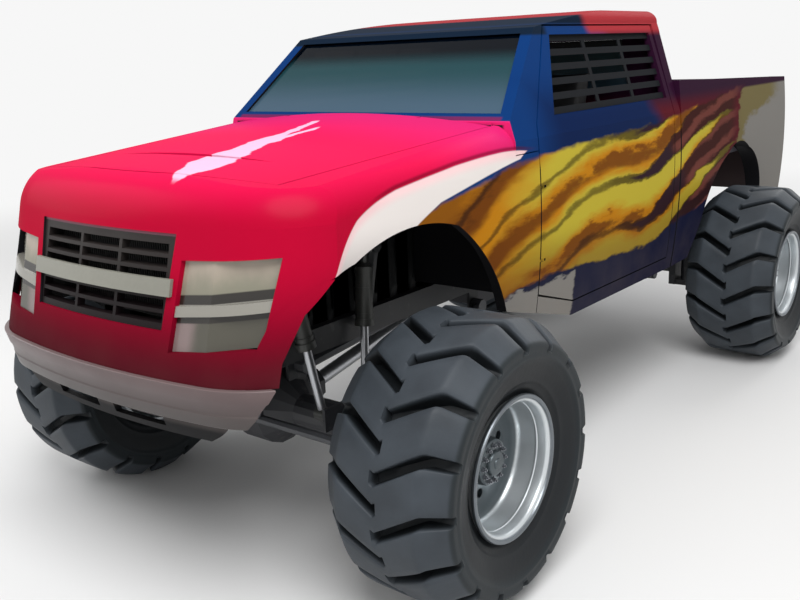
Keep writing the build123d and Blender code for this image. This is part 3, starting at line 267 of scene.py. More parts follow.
paintColours = {
    "pink": (0.76, 0.007, 0.08), "magenta": (0.66, 0.018, 0.15), "flashShade": (0.36, 0.33, 0.32),
    "crimson": (0.42, 0.002, 0.026), "deepRed": (0.07, 0.001, 0.008), "white": (0.74, 0.69, 0.66),
    "yellow": (0.46, 0.37, 0.035), "orange": (0.46, 0.18, 0.006), "brown": (0.14, 0.04, 0.004),
    "soot": (0.018, 0.007, 0.004), "ember": (0.03, 0.009, 0.005), "rust": (0.15, 0.045, 0.032),
    "cabBlue": (0.003, 0.032, 0.14), "doorBlue": (0.002, 0.012, 0.06), "navy": (0.004, 0.007, 0.03),
    "maroon": (0.085, 0.006, 0.012), "plum": (0.026, 0.006, 0.022), "silver": (0.21, 0.2, 0.185),
    "olive": (0.16, 0.13, 0.055), "flare": (0.86, 0.46, 0.64), "roofNight": (0.004, 0.01, 0.016),
    "roofRed": (0.36, 0.03, 0.038), "cowl": (0.14, 0.018, 0.085), "roseHighlight": (0.86, 0.42, 0.46),
    "innerDark": (0.014, 0.014, 0.016), "dust": (0.26, 0.2, 0.15),
}


# where one shade of the livery, painted light and shade among them, gives way to the next, in metres
liveryBands = {
    "noseTop": (1.7, 1.92), "noseShadeFoot": (1.12, 1.6), "bonnetLength": (-2, -1.3), "belt": (1.9, 2.2),
    "pillarLength": (-1.15, -0.75), "pillarHeight": (1.4, 1.7), "sill": (1.1, 1.5),
    "maroonStart": (0.42, 0.62), "plumRail": (1.86, 1.98), "lowBlue": (1.02, 1.1),
    "headerHeight": (2.335, 2.35), "headerLength": (-0.72, -0.66), "roofEdge": (2.37, 2.41),
    "redRoofHeight": (2.32, 2.37), "redRoofLength": (-0.3, -0.2), "tailStart": (1.74, 1.8),
    "oliveHeight": (1.66, 1.72), "oliveLength": (2.6, 2.95), "oliveFront": (1.92, 2.02),
    "tailRail": (1.93, 1.95), "flameStart": (-2.3, -2.15), "flameLength": (-0.35, 2.05),
    "hotLength": (-1.6, -0.8), "scorchLength": (-1.8, -1.5), "emberStart": (-0.9, -0.3),
    "emberEnd": (1.5, 1.8), "scuffHeight": (1.115, 1.135), "noseEnd": (-2.6, -2.59),
    "redEnd": (-1.262, -1.258), "flashStart": (-2.61, -2.57), "flashEnd": (-1.15, -1.14),
    "flashShadeHeight": (1.42, 1.66), "bonnetHeight": (1.78, 1.8), "bonnetEnd": (-1.34, -1.3),
    "cowlSide": (0.88, 0.9), "dustHeight": (0.9, 1.35), "archHeight": (1.7, 1.75),
    "bulkheadSide": (0.9, 0.92), "bulkheadHeight": (1.935, 1.94),
}

# heights of the drawn edges along the truck
liveryLines = {
    "flameTop": (
        (-2.3, 1.62), (-1.88, 1.66), (-1.225, 1.79), (0.14, 1.815), (0.75, 1.85), (1.5, 1.93), (2.1, 1.98),
    ),
    "flameFoot": (
        (-2.3, 1), (-1.3, 1.15), (-0.83, 1.155), (-0.36, 1.1), (0.19, 1.07), (0.66, 1.1), (2.1, 1.34),
    ),
    "climb": ((-2.3, 0.1), (-1.3, 0.42), (-0.5, 0.74), (0.8, 0.95), (2.1, 1.3)),
    "crease": (
        (-2.9, 1.2), (-2.595, 1.44), (-2.505, 1.6), (-2.415, 1.69), (-2.295, 1.735), (-2.165, 1.763),
        (-1.965, 1.784), (-1.745, 1.807), (-1.425, 1.828), (-1.235, 1.821), (-1.1, 1.8),
    ),
    "flashFoot": ((-2.9, 1), (-2.5, 1.3), (-2.16, 1.575), (-1.88, 1.665), (-1.225, 1.795), (-1.1, 1.83)),
}
drawnEdge = (-0.004, 0.004)


class Livery(Finish):
    # the body's paint, with painted light and shade in places, read from the place on the truck, so panels
    # match across gaps
    def __init__(self, name):
        super().__init__(
            name, paintColours["crimson"], 0.38, Coat_Weight=0.08, Coat_Roughness=0.26, Specular_IOR_Level=0
        )
        x, y, z = self.axes
        self.ragged = self.noise(2.2, 3, (0.6, 1, 1.6)) - 0.5
        self.fine = self.noise(9, 3, (0.6, 0.7, 2.2), (3, 1, 2)) - 0.5
        self.torn = self.noise(3.1, 4, (0.3, 0.9, 3.4), (2, 6, 3), 0.62, 0.26) - 0.5
        self.rearHalf = self.band(y + 0.9 * (z - 1.75) + 0.25 * self.ragged, "maroonStart")
        self.rearward = y - 0.55 * (z - 1.5) + 0.3 * self.ragged
        self.aboveCrease = z - self.line(y, liveryLines["crease"])
        base = self.flames(self.silverTail(self.cabShades()))
        base = self.flares(self.flash(self.scuff(base)))
        pinstripe = self.between(self.aboveCrease, 0.004, 0.018, 0.006) * self.between(y, -2.3, -1.15, 0.1)
        base = self.over(base, "deepRed", pinstripe * 0.6)
        dust = self.under(z, "dustHeight") * 0.14 * self.noise(6, 4)
        base = self.over(base, "dust", dust)
        base = self.over(base, "innerDark", self.innerFaces())
        grain = self.bump(self.noise(160, 1), 0.05, 0.002)
        self.cover(base, 0.3 + 0.1 * self.noise(14, 3) + 0.9 * dust, grain)

    def band(self, value, name):
        # 0 below the named band and 1 above it
        return self.rise(value, *liveryBands[name])

    def under(self, value, name):
        return 1 - self.band(value, name)

    def over(self, base, colour, share):
        # lays a named colour over the base
        return self.mix(share, base, paintColours[colour])

    def shades(self, share, low, high):
        return self.mix(share, paintColours[low], paintColours[high])

    def redsAndPaintedLight(self):
        # pink on top of the bonnet, darkening towards the bumper: partly the paint's own tones, partly a
        # painted highlight on top and painted shade low on the nose
        x, y, z = self.axes
        # crimson darkening to deep red towards the foot of the nose: painted shade
        red = self.shades(self.band(z, "noseShadeFoot"), "deepRed", "crimson")
        pink = self.shades(self.band(y, "bonnetLength"), "pink", "magenta")
        return self.mix(self.band(z, "noseTop"), red, pink)

    def cabShades(self):
        # blue cab, maroon behind it, and the roof's two colours
        x, y, z = self.axes
        pillar = self.under(y, "pillarLength") * self.band(z, "pillarHeight")
        blue = self.shades(self.band(z, "belt").atLeast(pillar), "doorBlue", "cabBlue")
        blue = self.mix(self.band(z, "sill"), paintColours["navy"], blue)
        maroon = self.shades(self.band(z, "plumRail"), "maroon", "plum")
        maroon = self.over(maroon, "navy", self.under(z - 0.22 * y, "lowBlue"))
        base = self.mix(self.rearHalf, blue, maroon)
        header = self.band(z, "headerHeight") * self.under(y, "headerLength")
        base = self.over(base, "roofNight", header.atLeast(self.band(z, "roofEdge")) * 0.9)
        redFrom = y + 0.5 * (z - 2.4) + 0.05 * self.ragged
        return self.over(base, "roofRed", self.band(z, "redRoofHeight") * self.band(redFrom, "redRoofLength"))

    def silverTail(self, base):
        # silver end of the bed sides, with an olive edge
        x, y, z = self.axes
        olive = self.band(z - 0.22 * (y - 2) + 0.16 * self.fine, "oliveHeight")
        olive = olive * self.under(y, "oliveLength")
        olive = olive.atLeast(self.under(self.rearward + 0.35 * self.fine, "oliveFront"))
        shade = self.over(self.shades(olive, "silver", "olive"), "plum", self.band(z, "tailRail"))
        return self.mix(self.band(self.rearward + 0.25 * self.fine, "tailStart"), base, shade)

    def flames(self, base):
        # flames over wing, door and bed
        x, y, z = self.axes
        torn, fine = self.torn, self.fine
        foot = self.line(y, liveryLines["flameFoot"])
        across = (z - foot) / (self.line(y, liveryLines["flameTop"]) - foot)
        sway = 0.3 * (self.noise(1.05, 1, (0.3, 1, 0.8), (0, 4, 1)) - 0.5)
        wave = self.noise(0.9, 2, (0.3, 1, 0.4), (5, 2, 7))
        lick = across - self.line(y, liveryLines["climb"]) + sway + 0.16 * torn
        ripple = (lick * 17 + 3 * wave).sine()
        reach = 2.3 * self.band(y + 0.5 * self.ragged, "flameLength")
        inside = self.rise(across + 0.1 * fine, 0, 0.035)
        inside = inside * (1 - self.rise(across + 0.08 * fine, 0.955, 1))
        flame = self.rise(ripple, reach - 1.25, reach - 1.12) * inside
        flame = flame * self.band(y - 0.55 * (z - 1.66), "flameStart")

        glow = (lick * 12 + 5.2 * wave + 2.2).sine()
        heart = self.rise(glow + 0.9 * fine, -0.75, 0.55)
        cool = self.shades(heart, "brown", "orange")
        fire = self.mix(self.band(y + 0.5 * torn, "hotLength"), cool, self.shades(heart, "orange", "yellow"))
        shadow = 1 - self.rise(glow + 2.4 * torn, -0.95, -0.45)
        fire = self.mix(shadow * 0.9, fire, self.shades(self.rise(torn, 0, 0.16), "brown", "soot"))
        fire = self.over(fire, "brown", 0.55 * (1 - self.rise(across, 0.05, 0.42)))
        scorched = self.under(y + 0.3 * torn - 0.5 * (z - 1.6), "scorchLength")
        fire = self.over(fire, "brown", scorched * 0.75)
        fire = self.over(fire, "soot", 0.8 * (1 - self.rise(ripple, reach - 1.06, reach - 0.8)))

        # dark embers between the flames, streaked with rust on the bed
        streaks = self.rise((lick * 31 + 4 * wave).sine(), -0.2, 0.9)
        rusty = self.shades(self.rearHalf, "ember", "rust")
        embers = self.mix(streaks * self.rearHalf, paintColours["ember"], rusty)
        ember = inside * self.band(y, "emberStart") * self.under(self.rearward, "emberEnd")
        return self.mix(flame, self.mix(ember * 0.8, base, embers), fire)

    def scuff(self, base):
        # silver scuff ahead of the sill
        x, y, z = self.axes
        torn = 0.1 * self.torn
        low = self.under(z + 0.12 * self.fine + torn, "scuffHeight")
        return self.over(base, "silver", self.between(y + torn, -1.38, -0.66, 0.012) * low)

    def flash(self, base):
        # the cowl, the red nose, then the white flash along the front arch, greyer low down as painted shade
        # and rosy under the crease as a painted highlight
        x, y, z = self.axes
        # rosy band just under the crease: painted highlight
        creaseHighlight = 0.55 * self.rise(self.aboveCrease, -0.055, -0.004)
        above = self.rise(self.aboveCrease, *drawnEdge)
        cowl = self.between(y, -1.34, -1.19, 0.004) * self.between(z, 1.86, 1.972, 0.004)
        base = self.over(base, "cowl", cowl * self.under(abs(x), "cowlSide"))
        nose = (self.under(y, "redEnd") * above).atLeast(self.under(y, "noseEnd"))
        base = self.mix(nose, base, self.redsAndPaintedLight())
        # white fading to grey lower down: painted shade
        white = self.shades(self.band(z + 0.06 * self.ragged, "flashShadeHeight"), "flashShade", "white")
        flash = (1 - above) * self.rise(z - self.line(y, liveryLines["flashFoot"]), *drawnEdge)
        flash = flash * self.under(y, "flashEnd") * self.band(y, "flashStart")
        return self.mix(flash, base, self.over(white, "roseHighlight", creaseHighlight))

    def flares(self, base):
        # two pale torn flares on the bonnet
        x, y, z = self.axes
        along = (y + 2.75) / 1.25
        drift = x - (0.33 - 0.36 * along) - 0.05 * self.ragged
        width = 0.115 * (1 - along) * self.rise(along, 0, 0.22) + 0.11 * (self.fine + 0.06)
        first = (1 - self.rise(abs(drift) - width, -0.004, 0.008)) * self.between(along, 0.02, 0.98, 0.02)
        drift = x - (0.22 - 0.1 * along) - 0.06 * self.fine
        width = 0.055 * (1 - along) * self.rise(along, 0.15, 0.45) + 0.05 * (self.fine + 0.08)
        second = (1 - self.rise(abs(drift) - width, -0.003, 0.006)) * self.between(along, 0.25, 0.85, 0.02)
        onTop = self.band(z, "bonnetHeight") * self.under(y, "bonnetEnd")
        return self.over(base, "flare", first.atLeast(second) * onTop)

    def innerFaces(self):
        # 1 on the faces made near black: inner sides, undersides, arches and bulkhead
        x, y, z = self.axes
        facingX, facingY, facingZ = self.parted(self.add("TexCoord", {}, "Normal"))
        side = abs(x)
        outwards = facingX * x / (side + 0.001)
        inner = 1 - self.rise(outwards, -0.45, -0.3)
        inner = inner.atLeast(1 - self.rise(facingZ, -0.75, -0.6))
        arches = (1 - self.rise(outwards, 0.35, 0.45)) * self.under(z, "archHeight")
        inner = inner.atLeast(arches * self.between(y, -2.55, 2.95, 0.01))
        bulkhead = (1 - self.rise(facingY, -0.6, -0.5)) * self.between(y, -1.4, -1.05, 0.01)
        bulkhead = bulkhead * self.under(side, "bulkheadSide") * self.under(z, "bulkheadHeight")
        return inner.atLeast(bulkhead)


livery = Livery("liveryPaint")
livery.use(
    "nose", "bonnet", "wing_left", "wing_right", "cab", "door_left", "door_right",
    "bedside_left", "bedside_right", "tailgate",
)
print("paint mixed")


def plainFinish(
    name, colour, roughness, metallic, grain, spread=0.25, bumpDepth=0.001, wear=0, **settings
):
    # a solid colour varied by two noises, with a matching bump
    finish = Finish(name, colour, roughness, metallic, **settings)
    broad = finish.noise(3, 3)
    small = finish.noise(grain, 3, (1, 1, 1), (2, 5, 1))
    darker = tuple(c * (1 - spread) for c in colour)
    lighter = tuple(min(1, c * (1 + spread) + 0.004) for c in colour)
    shade = finish.mix(0.65 * broad + 0.35 * small, darker, lighter)
    if wear:
        scuffs = finish.rise(finish.noise(18, 5, (1, 1, 1), (7, 3, 9)), 0.6, 0.72) * wear
        shade = finish.mix(scuffs, shade, (0.32, 0.31, 0.3))
    rough = roughness - 0.08 + 0.16 * broad + 0.06 * small
    return finish.cover(shade, rough, finish.bump(small, 0.25, bumpDepth))


plainRows = (
    # name, nodes, colour, roughness, metallic, grain and other settings
    ("framePaint", "frame", (0.012, 0.013, 0.015), 0.5, 0, 40, {"wear": 0.08}),
    ("axlePaint", "axle_front axle_rear", (0.02, 0.021, 0.025), 0.5, 0, 60, {"wear": 0.12}),
    ("castBlock", "engine", (0.05, 0.05, 0.055), 0.6, 0.3, 90, {}),
    ("groundSteel", "drive_shafts", (0.42, 0.43, 0.45), 0.28, 0.9, 120, {"spread": 0.12}),
    ("linkPaint", "suspension_links", (0.06, 0.063, 0.07), 0.42, 0.3, 40, {}),
    ("shockPaint", "shocks", (0.05, 0.052, 0.048), 0.38, 0.3, 40, {}),
    ("trimBlack", "dashboard", (0.014, 0.014, 0.017), 0.55, 0, 200, {"bumpDepth": 0.0004}),
    ("barPale", "grille_bar", (0.215, 0.212, 0.178), 0.4, 0.1, 60, {"spread": 0.16}),
    ("netStrap", "window_net_left window_net_right", (0.006, 0.007, 0.009), 0.85, 0, 300,
     {"Specular_IOR_Level": 0.1}),
    ("linerPaint", "bed", (0.05, 0.045, 0.06), 0.6, 0, 70, {"wear": 0.2}),
    ("seatVinyl", "driver_seat", (0.018, 0.018, 0.02), 0.5, 0, 220, {}),
    ("tailLampRed", "tail_lamps", (0.3, 0.008, 0.01), 0.18, 0, 30, {"spread": 0.1, "Coat_Weight": 0.5}),
    ("amberLens", "", (0.42, 0.13, 0.008), 0.18, 0, 30, {"spread": 0.1}),
    ("clearLens", "", (0.5, 0.49, 0.46), 0.15, 0, 30, {"spread": 0.1, "Coat_Weight": 0.3}),
    ("nutSteel", "", (0.2, 0.21, 0.23), 0.35, 0.8, 200, {}),
    ("coreMetal", "", (0.01, 0.01, 0.01), 0.6, 0, 150, {}),
    # near black, so that the inner aprons stand in for the shade in the wheel wells: painted shade
    ("apronShadeBlack", "", (0.008, 0.009, 0.01), 0.6, 0, 60, {"Specular_IOR_Level": 0.3}),
)
plain = {}
for name, dressed, colour, roughness, metallic, grain, settings in plainRows:
    plain[name] = plainFinish(name, colour, roughness, metallic, grain, **settings)
    plain[name].use(*dressed.split())
for end in ("front", "rear"):
    plain["axlePaint"].use(f"knuckle_{end}_left", f"knuckle_{end}_right")
    plain["groundSteel"].use("steering_ram_rod_" + end)
    plain["linkPaint"].use("tie_rod_" + end)


def levelFinish(name, colour, specular, scale, fade, low, high, tintShare, tint, roughness, topLine=None):
    # two shades blended by height, a broad tint and a line along the top
    finish = Finish(name, colour, roughness, Specular_IOR_Level=specular)
    x, y, z = finish.axes
    broad = finish.noise(scale, 3)
    shade = finish.mix(tintShare * broad, finish.mix(finish.rise(z, *fade), low, high), tint)
    if topLine:
        lineHeight, lineColour = topLine
        shade = finish.mix(finish.rise(z, lineHeight, lineHeight + 0.004), shade, lineColour)
    return finish.cover(shade, roughness + 0.2 * broad)


grilleDark = levelFinish(
    "grilleMoulding", (0.03, 0.026, 0.027), 0.12, 5, (1.36, 1.62), (0.004, 0.004, 0.004),
    (0.026, 0.024, 0.022), 0.4, (0.016, 0.003, 0.006), 0.4, (1.646, (0.22, 0.09, 0.12)),
)
bumperPaint = levelFinish(
    "bumperPaint", (0.16, 0.12, 0.12), 0.3, 4, (0.96, 1.12), (0.07, 0.06, 0.057),
    (0.145, 0.1, 0.1), 0.35, (0.085, 0.07, 0.07), 0.3,
)
valancePaint = levelFinish(
    "valancePaint", (0.03, 0.03, 0.03), 0.12, 6, (0.911, 0.941), (0.008, 0.008, 0.009),
    (0.066, 0.056, 0.054), 0.3, (0.02, 0.018, 0.018), 0.48,
)
grilleDark.use("grille")
bumperPaint.use("front_bumper", "rear_panel")
valancePaint.use("front_valance")


def lampFinish():
    # two lenses with a bright bar in the dark gap between them
    finish = Finish(
        "lampLens", (0.4, 0.36, 0.3), 0.2, Coat_Weight=0.25, Coat_Roughness=0.05, Specular_IOR_Level=0.4
    )
    x, y, z = finish.axes
    side = abs(x)
    level = z - 0.107 * (side - 0.43)  # height over the housing's slope
    cloudy = finish.noise(9, 3, (1, 1, 0.6))
    pale = finish.rise(level + 0.1 * (cloudy - 0.5), 1.43, 1.56)
    outer = finish.rise(side + 0.06 * (cloudy - 0.5), 0.52, 0.6)
    upperShade = finish.mix(pale, (0.21, 0.2, 0.15), (0.4, 0.33, 0.27))
    lowerShade = finish.mix(outer, (0.21, 0.155, 0.15), (0.07, 0.066, 0.05))
    shade = finish.mix(finish.rise(level, 1.39, 1.4), lowerShade, upperShade)
    shade = finish.mix(finish.between(level, 1.326, 1.43, 0.003), shade, (0.02, 0.017, 0.014))
    shade = finish.mix(finish.between(level, 1.35, 1.394, 0.002), shade, (0.25, 0.24, 0.21))
    return finish.cover(shade, normal=finish.bump((x * 340).sine(), 0.08, 0.001))


lampFinish().use("headlamp_left", "headlamp_right")


def glassFinish():
    # tinted glass, grey blue low down and greener above as a painted reflection, and near black along the
    # header
    finish = Finish("screenTintAndReflection", (0.05, 0.09, 0.11), 0.14, Alpha=0.95, Specular_IOR_Level=0.08)
    x, y, z = finish.axes
    # blue grey low down to greener above: painted reflection
    shade = finish.mix(finish.rise(z, 1.99, 2.2), (0.052, 0.096, 0.14), (0.012, 0.05, 0.06))
    shade = finish.mix(finish.rise(z, 2.2, 2.29), shade, (0.0005, 0.002, 0.005))
    return finish.cover(shade, 0.05 + 0.1 * finish.noise(3, 2, (1, 1, 0.5)))


glassFinish().use("windscreen", "rear_window")
print("trim, lamps and glass ready")

tyrePlaces = {"front": -2.01, "rear": 1.82, "height": 0.62, "side": 1.158}


def rubberFinish():
    # read from the distance to the axle, so the grooves keep their painted shade and the lug tops their
    # painted highlight as the wheel turns
    finish = Finish("tyreRubber", (0.05, 0.055, 0.062), 0.62, Specular_IOR_Level=0.2)
    dusty = finish.noise(5, 4)
    small = finish.noise(60, 3)
    radius, across = finish.onWheel()
    beyond = (across - 0.185).atLeast(0)
    top = finish.rise(radius + 0.72 * beyond, 0.585, 0.617)
    # groove floors near black: painted shade in the recesses
    groove = (0.01, 0.012, 0.014)
    wall = finish.mix(dusty, (0.01, 0.013, 0.015), (0.024, 0.03, 0.034))
    # lug tops lighter and bluer than the grooves: painted highlight
    lugsHighlighted = finish.mix(dusty, (0.022, 0.026, 0.031), (0.062, 0.074, 0.088))
    shade = finish.mix(finish.rise(across, 0.285, 0.3), finish.mix(top, groove, lugsHighlighted), wall)
    return finish.cover(shade, 0.4 + 0.2 * dusty, finish.bump(small, 0.3, 0.002))


def wheelFinish():
    # satin silver barrel, with a darker dish and lip
    finish = Finish("wheelSilver", (0.5, 0.53, 0.56), 0.3, 0.75)
    broad = finish.noise(4, 3)
    small = finish.noise(90, 2)
    radius, across = finish.onWheel()
    silver = finish.mix(broad, (0.5, 0.53, 0.55), (0.74, 0.78, 0.8))
    dish = finish.mix(broad, (0.06, 0.072, 0.08), (0.11, 0.13, 0.14))
    lip = finish.mix(broad, (0.11, 0.125, 0.14), (0.2, 0.22, 0.24))
    shade = finish.mix(finish.rise(radius, 0.262, 0.272), dish, silver)
    shade = finish.mix(finish.rise(radius, 0.288, 0.296), shade, lip)
    return finish.cover(shade, 0.22 + 0.16 * broad + 0.06 * small, finish.bump(small, 0.1, 0.001))


# Pieces that stand for a solid or are added to it

def publish(name, mesh, finish, crease, body="truck"):
    # turns a bmesh into an object that rides on a body
    bmesh.ops.remove_doubles(mesh, verts=mesh.verts, dist=0.00005)
    bmesh.ops.recalc_face_normals(mesh, faces=mesh.faces)
    for face in mesh.faces:
        face.smooth = True
    thing = addMesh(name, mesh)
    thing.data.set_sharp_from_angle(angle=math.radians(crease))
    dress(thing, finish.material)
    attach(thing, body)
    return thing


sides = (("left", 1), ("right", -1))


def turnRound(mesh, geom, steps, **settings):
    # a full turn about the axle
    bmesh.ops.spin(mesh, geom=geom, axis=(1, 0, 0), angle=math.tau, steps=steps, **settings)


def spun(mesh, profile, steps):
    # turns a row of (along, radius) points about the axle
    row = [mesh.verts.new((along, 0, max(radius, 0.00001))) for along, radius in profile]
    edges = [mesh.edges.new(pair) for pair in zip(row, row[1:])]
    turnRound(mesh, row + edges, steps, use_merge=True)


def repeated(mesh, times):
    # copies what the mesh holds round the axle
    turnRound(mesh, mesh.verts[:] + mesh.edges[:] + mesh.faces[:], times, use_duplicate=True)


def roundBar(mesh, start, end, radius, steps, endRadius=None):
    # a round bar between two points
    start, end = Vector(start), Vector(end)
    along = end - start
    place = Matrix.Translation((start + end) / 2) @ along.to_track_quat("Z", "Y").to_matrix().to_4x4()
    return bmesh.ops.create_cone(
        mesh, cap_ends=True, segments=steps, radius1=radius, radius2=endRadius or radius, depth=along.length,
        matrix=place,
    )["verts"]


def softBox(mesh, low, high, bevel, segments=2):
    # a box between two corners with rounded edges
    low, high = Vector(low), Vector(high)
    size = high - low
    place = Matrix.Translation((low + high) / 2) @ Matrix.Diagonal((*size, 1))
    verts = bmesh.ops.create_cube(mesh, size=1, matrix=place)["verts"]
    edges = list({edge for vert in verts for edge in vert.link_edges})
    if bevel:
        bmesh.ops.bevel(mesh, geom=edges, offset=bevel, segments=segments, profile=0.5, affect="EDGES")
    return verts


def gridMesh(mesh, columns, rows, placed):
    # a grid whose corners are set from (column, row) shares of 0 to 1
    for vert in bmesh.ops.create_grid(mesh, x_segments=columns, y_segments=rows, size=1)["verts"]:
        vert.co = placed((vert.co.x + 1) / 2, (vert.co.y + 1) / 2)


# Tyres

tyreShape = {"radius": 0.6215, "bars": 16, "bend": 0.13, "bendEnd": 0.2, "lap": 0.018, "grooveEnd": 0.008}

# across, top radius, floor radius
treadRows = (
    (0, 0.6215, 0.579), (0.006, 0.6215, 0.5775), (0.014, 0.6215, 0.5755), (0.018, 0.6215, 0.5745),
    (0.024, 0.6215, 0.573), (0.06, 0.6212, 0.5635), (0.1, 0.6207, 0.553), (0.14, 0.62, 0.5425),
    (0.17, 0.6192, 0.5345), (0.184, 0.618, 0.531), (0.193, 0.614, 0.5285), (0.206, 0.604, 0.525),
    (0.24, 0.577, 0.516), (0.275, 0.55, 0.507), (0.294, 0.536, 0.502), (0.302, 0.527, 0.5),
    (0.3035, 0.517, 0.4975), (0.301, 0.5, 0.495),
)
wallRows = (
    (0.2995, 0.487), (0.301, 0.481), (0.3005, 0.47), (0.2955, 0.466), (0.289, 0.445), (0.28, 0.42),
    (0.269, 0.392), (0.26, 0.37), (0.26, 0.364), (0.255, 0.361), (0.244, 0.34), (0.242, 0.333),
    (0.236, 0.327), (0.228, 0.312), (0.22, 0.3), (0.216, 0.2915),
)
# offset from the groove's middle and share of its depth
grooveHalf = [(0.0185, 1), (0.0215, 0.9), (0.0245, 0.42), (0.0265, 0.16), (0.029, 0.04), (0.033, 0)]
grooveColumns = [(-offset, depth) for offset, depth in reversed(grooveHalf)] + grooveHalf


def treadStrip(mesh):
    # one pitch of the tread: rows run across the tyre, columns follow both grooves
    crown, bars, bend, bendEnd, lap, grooveEnd = pick(tyreShape, "radius bars bend bendEnd lap grooveEnd")
    pitch = math.tau * crown / bars
    edge = grooveHalf[-1][0]
    columns = [(offset, depth, -1) for offset, depth in grooveColumns]
    columns += [(pitch / 4, 0, -1)]
    columns += [(offset + pitch / 2, depth, 1) for offset, depth in grooveColumns]
    columns += [(pitch * 3 / 4, 0, -1), (pitch - edge, 0, -1)]
    half = list(treadRows) + [(across, radius, radius) for across, radius in wallRows]
    rows = [(-across, top, low) for across, top, low in reversed(half[1:])] + half

    def placed(column, row):
        offset, depth, ownSide = columns[round(column * (len(columns) - 1))]
        across, top, low = rows[round(row * (len(rows) - 1))]
        opened = min(1, max(0, (ownSide * across + lap) / grooveEnd))
        shift = bend * min(1, (abs(across) + lap) / (bendEnd + lap))
        radius = top + (low - top) * depth * opened
        angle = -(offset + shift) / crown
        return across, -radius * math.sin(angle), radius * math.cos(angle)

    gridMesh(mesh, len(columns) - 1, len(rows) - 1, placed)


def tyreMesh():
    mesh = bmesh.new()
    treadStrip(mesh)
    repeated(mesh, tyreShape["bars"])
    return mesh


# Wheels

wheelShape = {
    "steps": 60, "holes": 10, "holeRadius": 0.021, "holeCircle": 0.16, "disc": 0.077, "nuts": 12,
    "nutCircle": 0.078,
}

# along, radius: from the disc's back over the barrel to its face, then from its bore to the cap
rimProfile = (
    (-0.13, 0.061), (-0.13, 0.097), (-0.128, 0.099), (0.056, 0.099), (0.059, 0.1), (0.059, 0.277),
    (-0.262, 0.277), (-0.262, 0.29), (-0.262, 0.309), (-0.255, 0.313), (-0.246, 0.311), (-0.24, 0.3),
    (-0.238, 0.2902), (0.236, 0.2902), (0.238, 0.303), (0.2405, 0.3105), (0.246, 0.314), (0.256, 0.3145),
    (0.2615, 0.311), (0.262, 0.303), (0.259, 0.2965), (0.252, 0.2935), (0.25, 0.286), (0.244, 0.28),
    (0.236, 0.2775), (0.2, 0.2765), (0.196, 0.2735), (0.19, 0.2735), (0.186, 0.276), (0.12, 0.275),
    (0.102, 0.27), (0.09, 0.26), (0.0825, 0.244), (0.079, 0.225), (0.077, 0.195),
)
hubProfile = (
    (0.077, 0.125), (0.0775, 0.118), (0.081, 0.111), (0.09, 0.106), (0.096, 0.104), (0.134, 0.101),
    (0.142, 0.0985), (0.1465, 0.093), (0.147, 0.088), (0.147, 0.058), (0.148, 0.056), (0.16, 0.054),
    (0.165, 0.05), (0.167, 0.04), (0.1675, 0.025), (0.172, 0.022), (0.173, 0.015), (0.1732, 0),
)

# start, end, radius and sides of a washer, nut and stud
nutRows = ((0.146, 0.15, 0.0125, 16), (0.149, 0.16, 0.0095, 6), (0.158, 0.167, 0.0045, 10))


def ringEdges(mesh, count, placed, *settings):
    # a closed row of edges whose corners are set from their numbers
    ring = bmesh.ops.create_circle(mesh, segments=count, radius=1)["verts"]
    for i, vert in enumerate(ring):
        vert.co = placed(i, *settings)
    return list({edge for vert in ring for edge in vert.link_edges})


def holedSector(mesh):
    # one share of the disc: its border bridged to a hole whose edge is drawn back
    count = 24
    disc, holes, holeRadius, holeCircle = pick(wheelShape, "disc holes holeRadius holeCircle")
    inner, outer = hubProfile[0][1], rimProfile[-1][1]

    def border(i):
        side, part = divmod(i, count // 4)
        step = 2 * part / (count // 4) - 1
        a, b = ((step, -1), (1, step), (-step, 1), (-1, -step))[side]
        radius = (inner + outer) / 2 + b * (outer - inner) / 2
        angle = a * math.pi / holes
        return disc, -radius * math.sin(angle), radius * math.cos(angle)

    def hole(i, depth, grow):
        turn = math.tau * i / count - 0.75 * math.pi
        radius = holeRadius * grow
        return disc + depth, -radius * math.cos(turn), holeCircle + radius * math.sin(turn)

    rings = [ringEdges(mesh, count, border)]
    for depth, grow in ((0, 1.12), (-0.0015, 1), (-0.016, 0.96)):
        rings.append(ringEdges(mesh, count, hole, depth, grow))
        bmesh.ops.bridge_loops(mesh, edges=rings[-2] + rings[-1])


def wheelMesh():
    mesh = bmesh.new()
    holedSector(mesh)
    repeated(mesh, wheelShape["holes"])
    for profile in (rimProfile, hubProfile):
        spun(mesh, profile, wheelShape["steps"])
    bmesh.ops.remove_doubles(mesh, verts=mesh.verts, dist=0.0002)
    return mesh


def nutMesh():
    # a washer, hexagon nut and stud at each place of the hub's face
    mesh = bmesh.new()
    height = wheelShape["nutCircle"]
    for i in range(wheelShape["nuts"]):
        turn = Matrix.Rotation(math.tau * i / wheelShape["nuts"], 4, "X")
        for start, end, radius, steps in nutRows:
            verts = roundBar(mesh, (start, 0, height), (end, 0, height), radius, steps)
            bmesh.ops.transform(mesh, matrix=turn, verts=verts)
    return mesh


